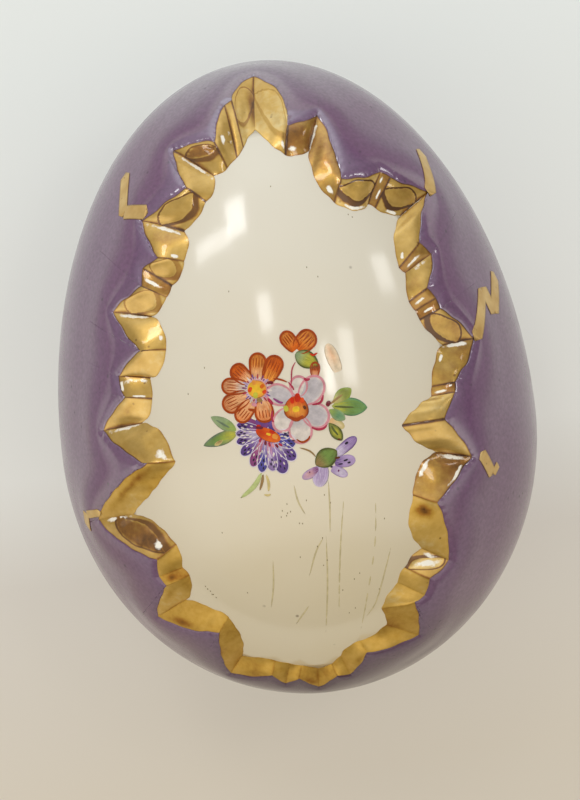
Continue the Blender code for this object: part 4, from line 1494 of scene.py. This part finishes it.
def base_inside():
    """Rings from the seam over the flange and down the hollow."""
    flange_inset = LID_WALL + FLANGE_GAP
    narrowing = math.sqrt(1 - (FLANGE_HEIGHT / (HALF_WIDTH - LID_CROWN)) ** 2)
    tip_inset = flange_inset + (1 - narrowing) * POINTED_REACH
    bore_inset = tip_inset + FLANGE_WALL
    slope = (tip_inset - flange_inset) / (FLANGE_HEIGHT + SEAM_GAP / 2)
    rows = [oval(base_azimuths, inset, -SEAM_GAP / 2) for inset in (flange_inset - SEAM_ROUND, flange_inset)]
    for covered, left in quarter_round():
        inset = tip_inset + FLANGE_ROUND * (covered - slope * left)
        rows.append(oval(base_azimuths, inset, FLANGE_HEIGHT - FLANGE_ROUND * left))
    for covered, left in quarter_round():
        inset = bore_inset - FLANGE_ROUND * left
        rows.append(oval(base_azimuths, inset, FLANGE_HEIGHT - FLANGE_ROUND * covered))
    sides = oval(base_azimuths, bore_inset, FLANGE_HEIGHT) - CENTRE
    hollow_edge = on_sphere(sides[:, :2] / (egg_scale(sides)[:, :2] - BASE_WALL), -1)
    return rows + hollow_rows(hollow_edge, BOTTOM, BASE_WALL, BASE_WALL)


def build_base():
    """The base's porcelain, the glaze over its flange and hollow, and the bare face of its foot ring."""
    inside = base_inside()
    rows = base_outside() + inside
    foot_tip = on_egg(under_egg(np.array([[0.0, FOOT_SHIFT]])))[0]
    hollow_tip = hollow_points(BOTTOM[None], BASE_WALL, BASE_WALL)[0]
    shell = Pile()
    total = sum(len(row) for row in rows) + 2
    shell.add(rows, (foot_tip, hollow_tip), {"rim": np.full(total, FAR_FROM_RIM)})
    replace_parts(shell.piece("base_shell", purple_lustre(), "base", "purple_lustre"), "base")

    lining = Pile()
    lining.add(*layer(inside, GLAZE, GLAZE, hollow_tip, TOP))
    lining.piece("base_lining", ivory_glaze(), "base", "ivory_glaze")

    foot = Pile()
    inner = FOOT_RADIUS - FOOT_WIDTH + FOOT_ROUND
    outer = FOOT_RADIUS - FOOT_ROUND
    foot.add([foot_ring(inner, 0.0), foot_ring(outer, 0.0),
              foot_ring(outer, 2 * GLAZE), foot_ring(inner, 2 * GLAZE)])
    foot.piece("base_foot_face", bare_porcelain(), "base", "bare_porcelain")


# Stage, light and camera

VIEW_DISTANCE = 0.550  # metres from the egg's middle to the camera
VIEW_LEAN = 3.0  # degrees from straight down, towards the pointed end
VIEW_ROLL = 7.5  # degrees by which the egg leans to the left in the picture
LENS = 142.4  # focal length in millimetres
PICTURE_HEIGHT = 800.0  # pixels
SHIFT_ACROSS = -8.9  # pixels
SHIFT_UP = 32.6  # pixels
LAMP_DISTANCE = 0.8  # metres from the egg's middle
FLOOR_SIZE = 4.0  # metres
FLOOR_GLOW = 0.55

# The floor's colours by the share of the way from the blunt end's side to the pointed end's.
FLOOR_MIDDLE = linear(194, 192, 185)
FLOOR_STOPS = (
    (0.0, linear(178, 169, 154)), (0.30, linear(180, 174, 164)), (0.45, FLOOR_MIDDLE),
    (1.0, linear(194, 196, 192)),
)
FLOOR_SPAN = (-0.075, 0.06)  # metres along Y that they cover
FLOOR_EVENING = (0.13, 0.40)  # metres from the origin over which the floor turns one colour

# Lamps: direction from the egg, width and height in metres, turn in degrees, and brightness.
LAMPS = (
    ((-0.285, 0.777, 0.561), (0.13, 0.16), -2.0, 6.5),
    ((-0.487, 0.673, 0.557), (0.25, 0.07), -7.0, 5.5),
    ((-0.149, 0.439, 0.886), (0.085, 0.115), 0.0, 6.0),
    ((0.776, 0.460, 0.432), (0.12, 0.11), 30.0, 4.0),
    ((0.309, 0.198, 0.930), (0.06, 0.142), 0.0, 9.0),
    ((0.475, 0.233, 0.849), (0.095, 0.165), 0.0, 4.5),
)

# Light of the room by direction: along Y from the table's side to the ceiling's, along X from left to right,
# and along Z up to the camera.
TABLE_TO_CEILING = (
    (-1.0, (0.20, 0.18, 0.15)), (-0.75, (0.45, 0.43, 0.38)), (-0.58, (1.30, 1.26, 1.17)),
    (-0.35, (1.45, 1.42, 1.33)), (-0.14, (1.30, 1.28, 1.22)), (0.02, (0.55, 0.54, 0.53)),
    (0.20, (0.48, 0.49, 0.50)), (0.62, (0.52, 0.55, 0.59)), (0.85, (1.00, 1.06, 1.13)),
    (1.0, (2.3, 2.5, 2.6)),
)
LEFT_TO_RIGHT = (
    (-1.0, (1.05, 1.05, 1.05)), (0.0, (1.0, 1.0, 1.0)), (0.5, (0.9, 0.9, 0.9)), (1.0, (0.6, 0.6, 0.6)),
)
HORIZON_TO_ZENITH = (
    (-1.0, (0.4, 0.4, 0.4)), (0.0, (0.5, 0.5, 0.5)), (0.45, (1.0, 1.0, 1.0)), (1.0, (1.0, 1.0, 1.0)),
)
BACKGROUND = (0.76, 0.77, 0.74, 1.0)


def build_camera():
    """A camera over the lid, rolled so that the egg leans as in the photograph."""
    lean = math.radians(VIEW_LEAN)
    roll = math.radians(VIEW_ROLL)
    back = Vector((0.0, math.sin(lean), math.cos(lean)))
    level_right = Vector((1.0, 0.0, 0.0))
    level_up = Vector((0.0, math.cos(lean), -math.sin(lean)))
    right = math.cos(roll) * level_right - math.sin(roll) * level_up
    up = math.sin(roll) * level_right + math.cos(roll) * level_up
    place = Vector(CENTRE) + VIEW_DISTANCE * back
    data = bpy.data.cameras.new("camera")
    data.lens = LENS
    data.shift_x = SHIFT_ACROSS / PICTURE_HEIGHT
    data.shift_y = SHIFT_UP / PICTURE_HEIGHT
    camera = bpy.data.objects.new("camera", data)
    camera.matrix_world = Matrix(((right.x, up.x, back.x, place.x), (right.y, up.y, back.y, place.y),
                                  (right.z, up.z, back.z, place.z), (0.0, 0.0, 0.0, 1.0)))
    bpy.context.scene.collection.objects.link(camera)
    bpy.context.scene.camera = camera


def build_lamps():
    """Rectangular lamps that face the egg, each with its width along X before it is turned."""
    for number, (aim, (width, height), turn, brightness) in enumerate(LAMPS):
        data = bpy.data.lights.new(f"lamp_{number}", "AREA")
        data.shape = "RECTANGLE"
        data.size = width
        data.size_y = height
        data.energy = brightness * math.pi * width * height
        away = Vector(aim).normalized()
        across = (Vector((1.0, 0.0, 0.0)) - away * away.x).normalized()
        facing = Matrix((across, away.cross(across), away)).transposed().to_4x4()
        lamp = bpy.data.objects.new(f"lamp_{number}", data)
        lamp.matrix_world = (Matrix.Translation(Vector(CENTRE) + away * LAMP_DISTANCE) @ facing
                             @ Matrix.Rotation(math.radians(turn), 4, "Z"))
        bpy.context.scene.collection.objects.link(lamp)


def build_world():
    """A room that is bright towards the blunt end, as over a white table, and dim round the camera."""
    world = bpy.data.worlds.new("room")
    bpy.context.scene.world = world
    world.use_nodes = True
    nodes = Nodes(world.node_tree)
    axes = nodes.axes(nodes.node("TexCoord", {})["Generated"])

    def tint(axis, stops):
        stops = [((place + 1) / 2, (*colour, 1.0)) for place, colour in stops]
        return nodes.ramp(nodes.span(axes[axis], -1.0, 1.0), *stops)

    light = nodes.mix(1.0, tint("Y", TABLE_TO_CEILING), tint("Z", HORIZON_TO_ZENITH), "MULTIPLY")
    light = nodes.mix(1.0, light, tint("X", LEFT_TO_RIGHT), "MULTIPLY")
    seen = nodes.mix(nodes.node("LightPath", {})["Is Camera Ray"], light, BACKGROUND)
    nodes.plug(seen, nodes.tree.nodes["Background"].inputs["Color"])


def build_floor():
    """A pale floor, warmer by the egg's blunt end and even further out, that keeps a soft shadow."""
    finish = Finish("floor")
    place = finish.place()
    near = finish.ramp(finish.span(finish.axes(place)["Y"], *FLOOR_SPAN), *FLOOR_STOPS)
    away = finish.node("VectorMath", {0: place}, operation="LENGTH")["Value"]
    pale = finish.mix(finish.span(away, *FLOOR_EVENING), near, FLOOR_MIDDLE)
    path = finish.node("LightPath", {})
    seen = finish.sum(finish.sum(path["Is Camera Ray"], path["Is Glossy Ray"]), path["Is Transmission Ray"])
    glow = finish.node("Emission", {"Color": pale, "Strength": finish.product(seen, FLOOR_GLOW)})["Emission"]
    both = finish.node("AddShader", {0: finish.shader.outputs["BSDF"], 1: glow})["Shader"]
    finish.plug(both, finish.tree.nodes["Material Output"].inputs["Surface"])
    finish.set(Base_Color=pale, Roughness=0.8, Specular_IOR_Level=0.2)
    half = FLOOR_SIZE / 2
    corners = [(-half, -half, 0.0), (half, -half, 0.0), (half, half, 0.0), (-half, half, 0.0)]
    mesh = bpy.data.meshes.new("floor")
    mesh.from_pydata(corners, [], [(0, 1, 2, 3)])
    mesh.materials.append(finish.material)
    floor = bpy.data.objects.new("floor", mesh)
    bpy.context.scene.collection.objects.link(floor)


build_base()
build_lid()
build_cracks()
build_spray()
build_floor()
build_lamps()
build_world()
build_camera()
bpy.context.scene.view_settings.view_transform = "Standard"
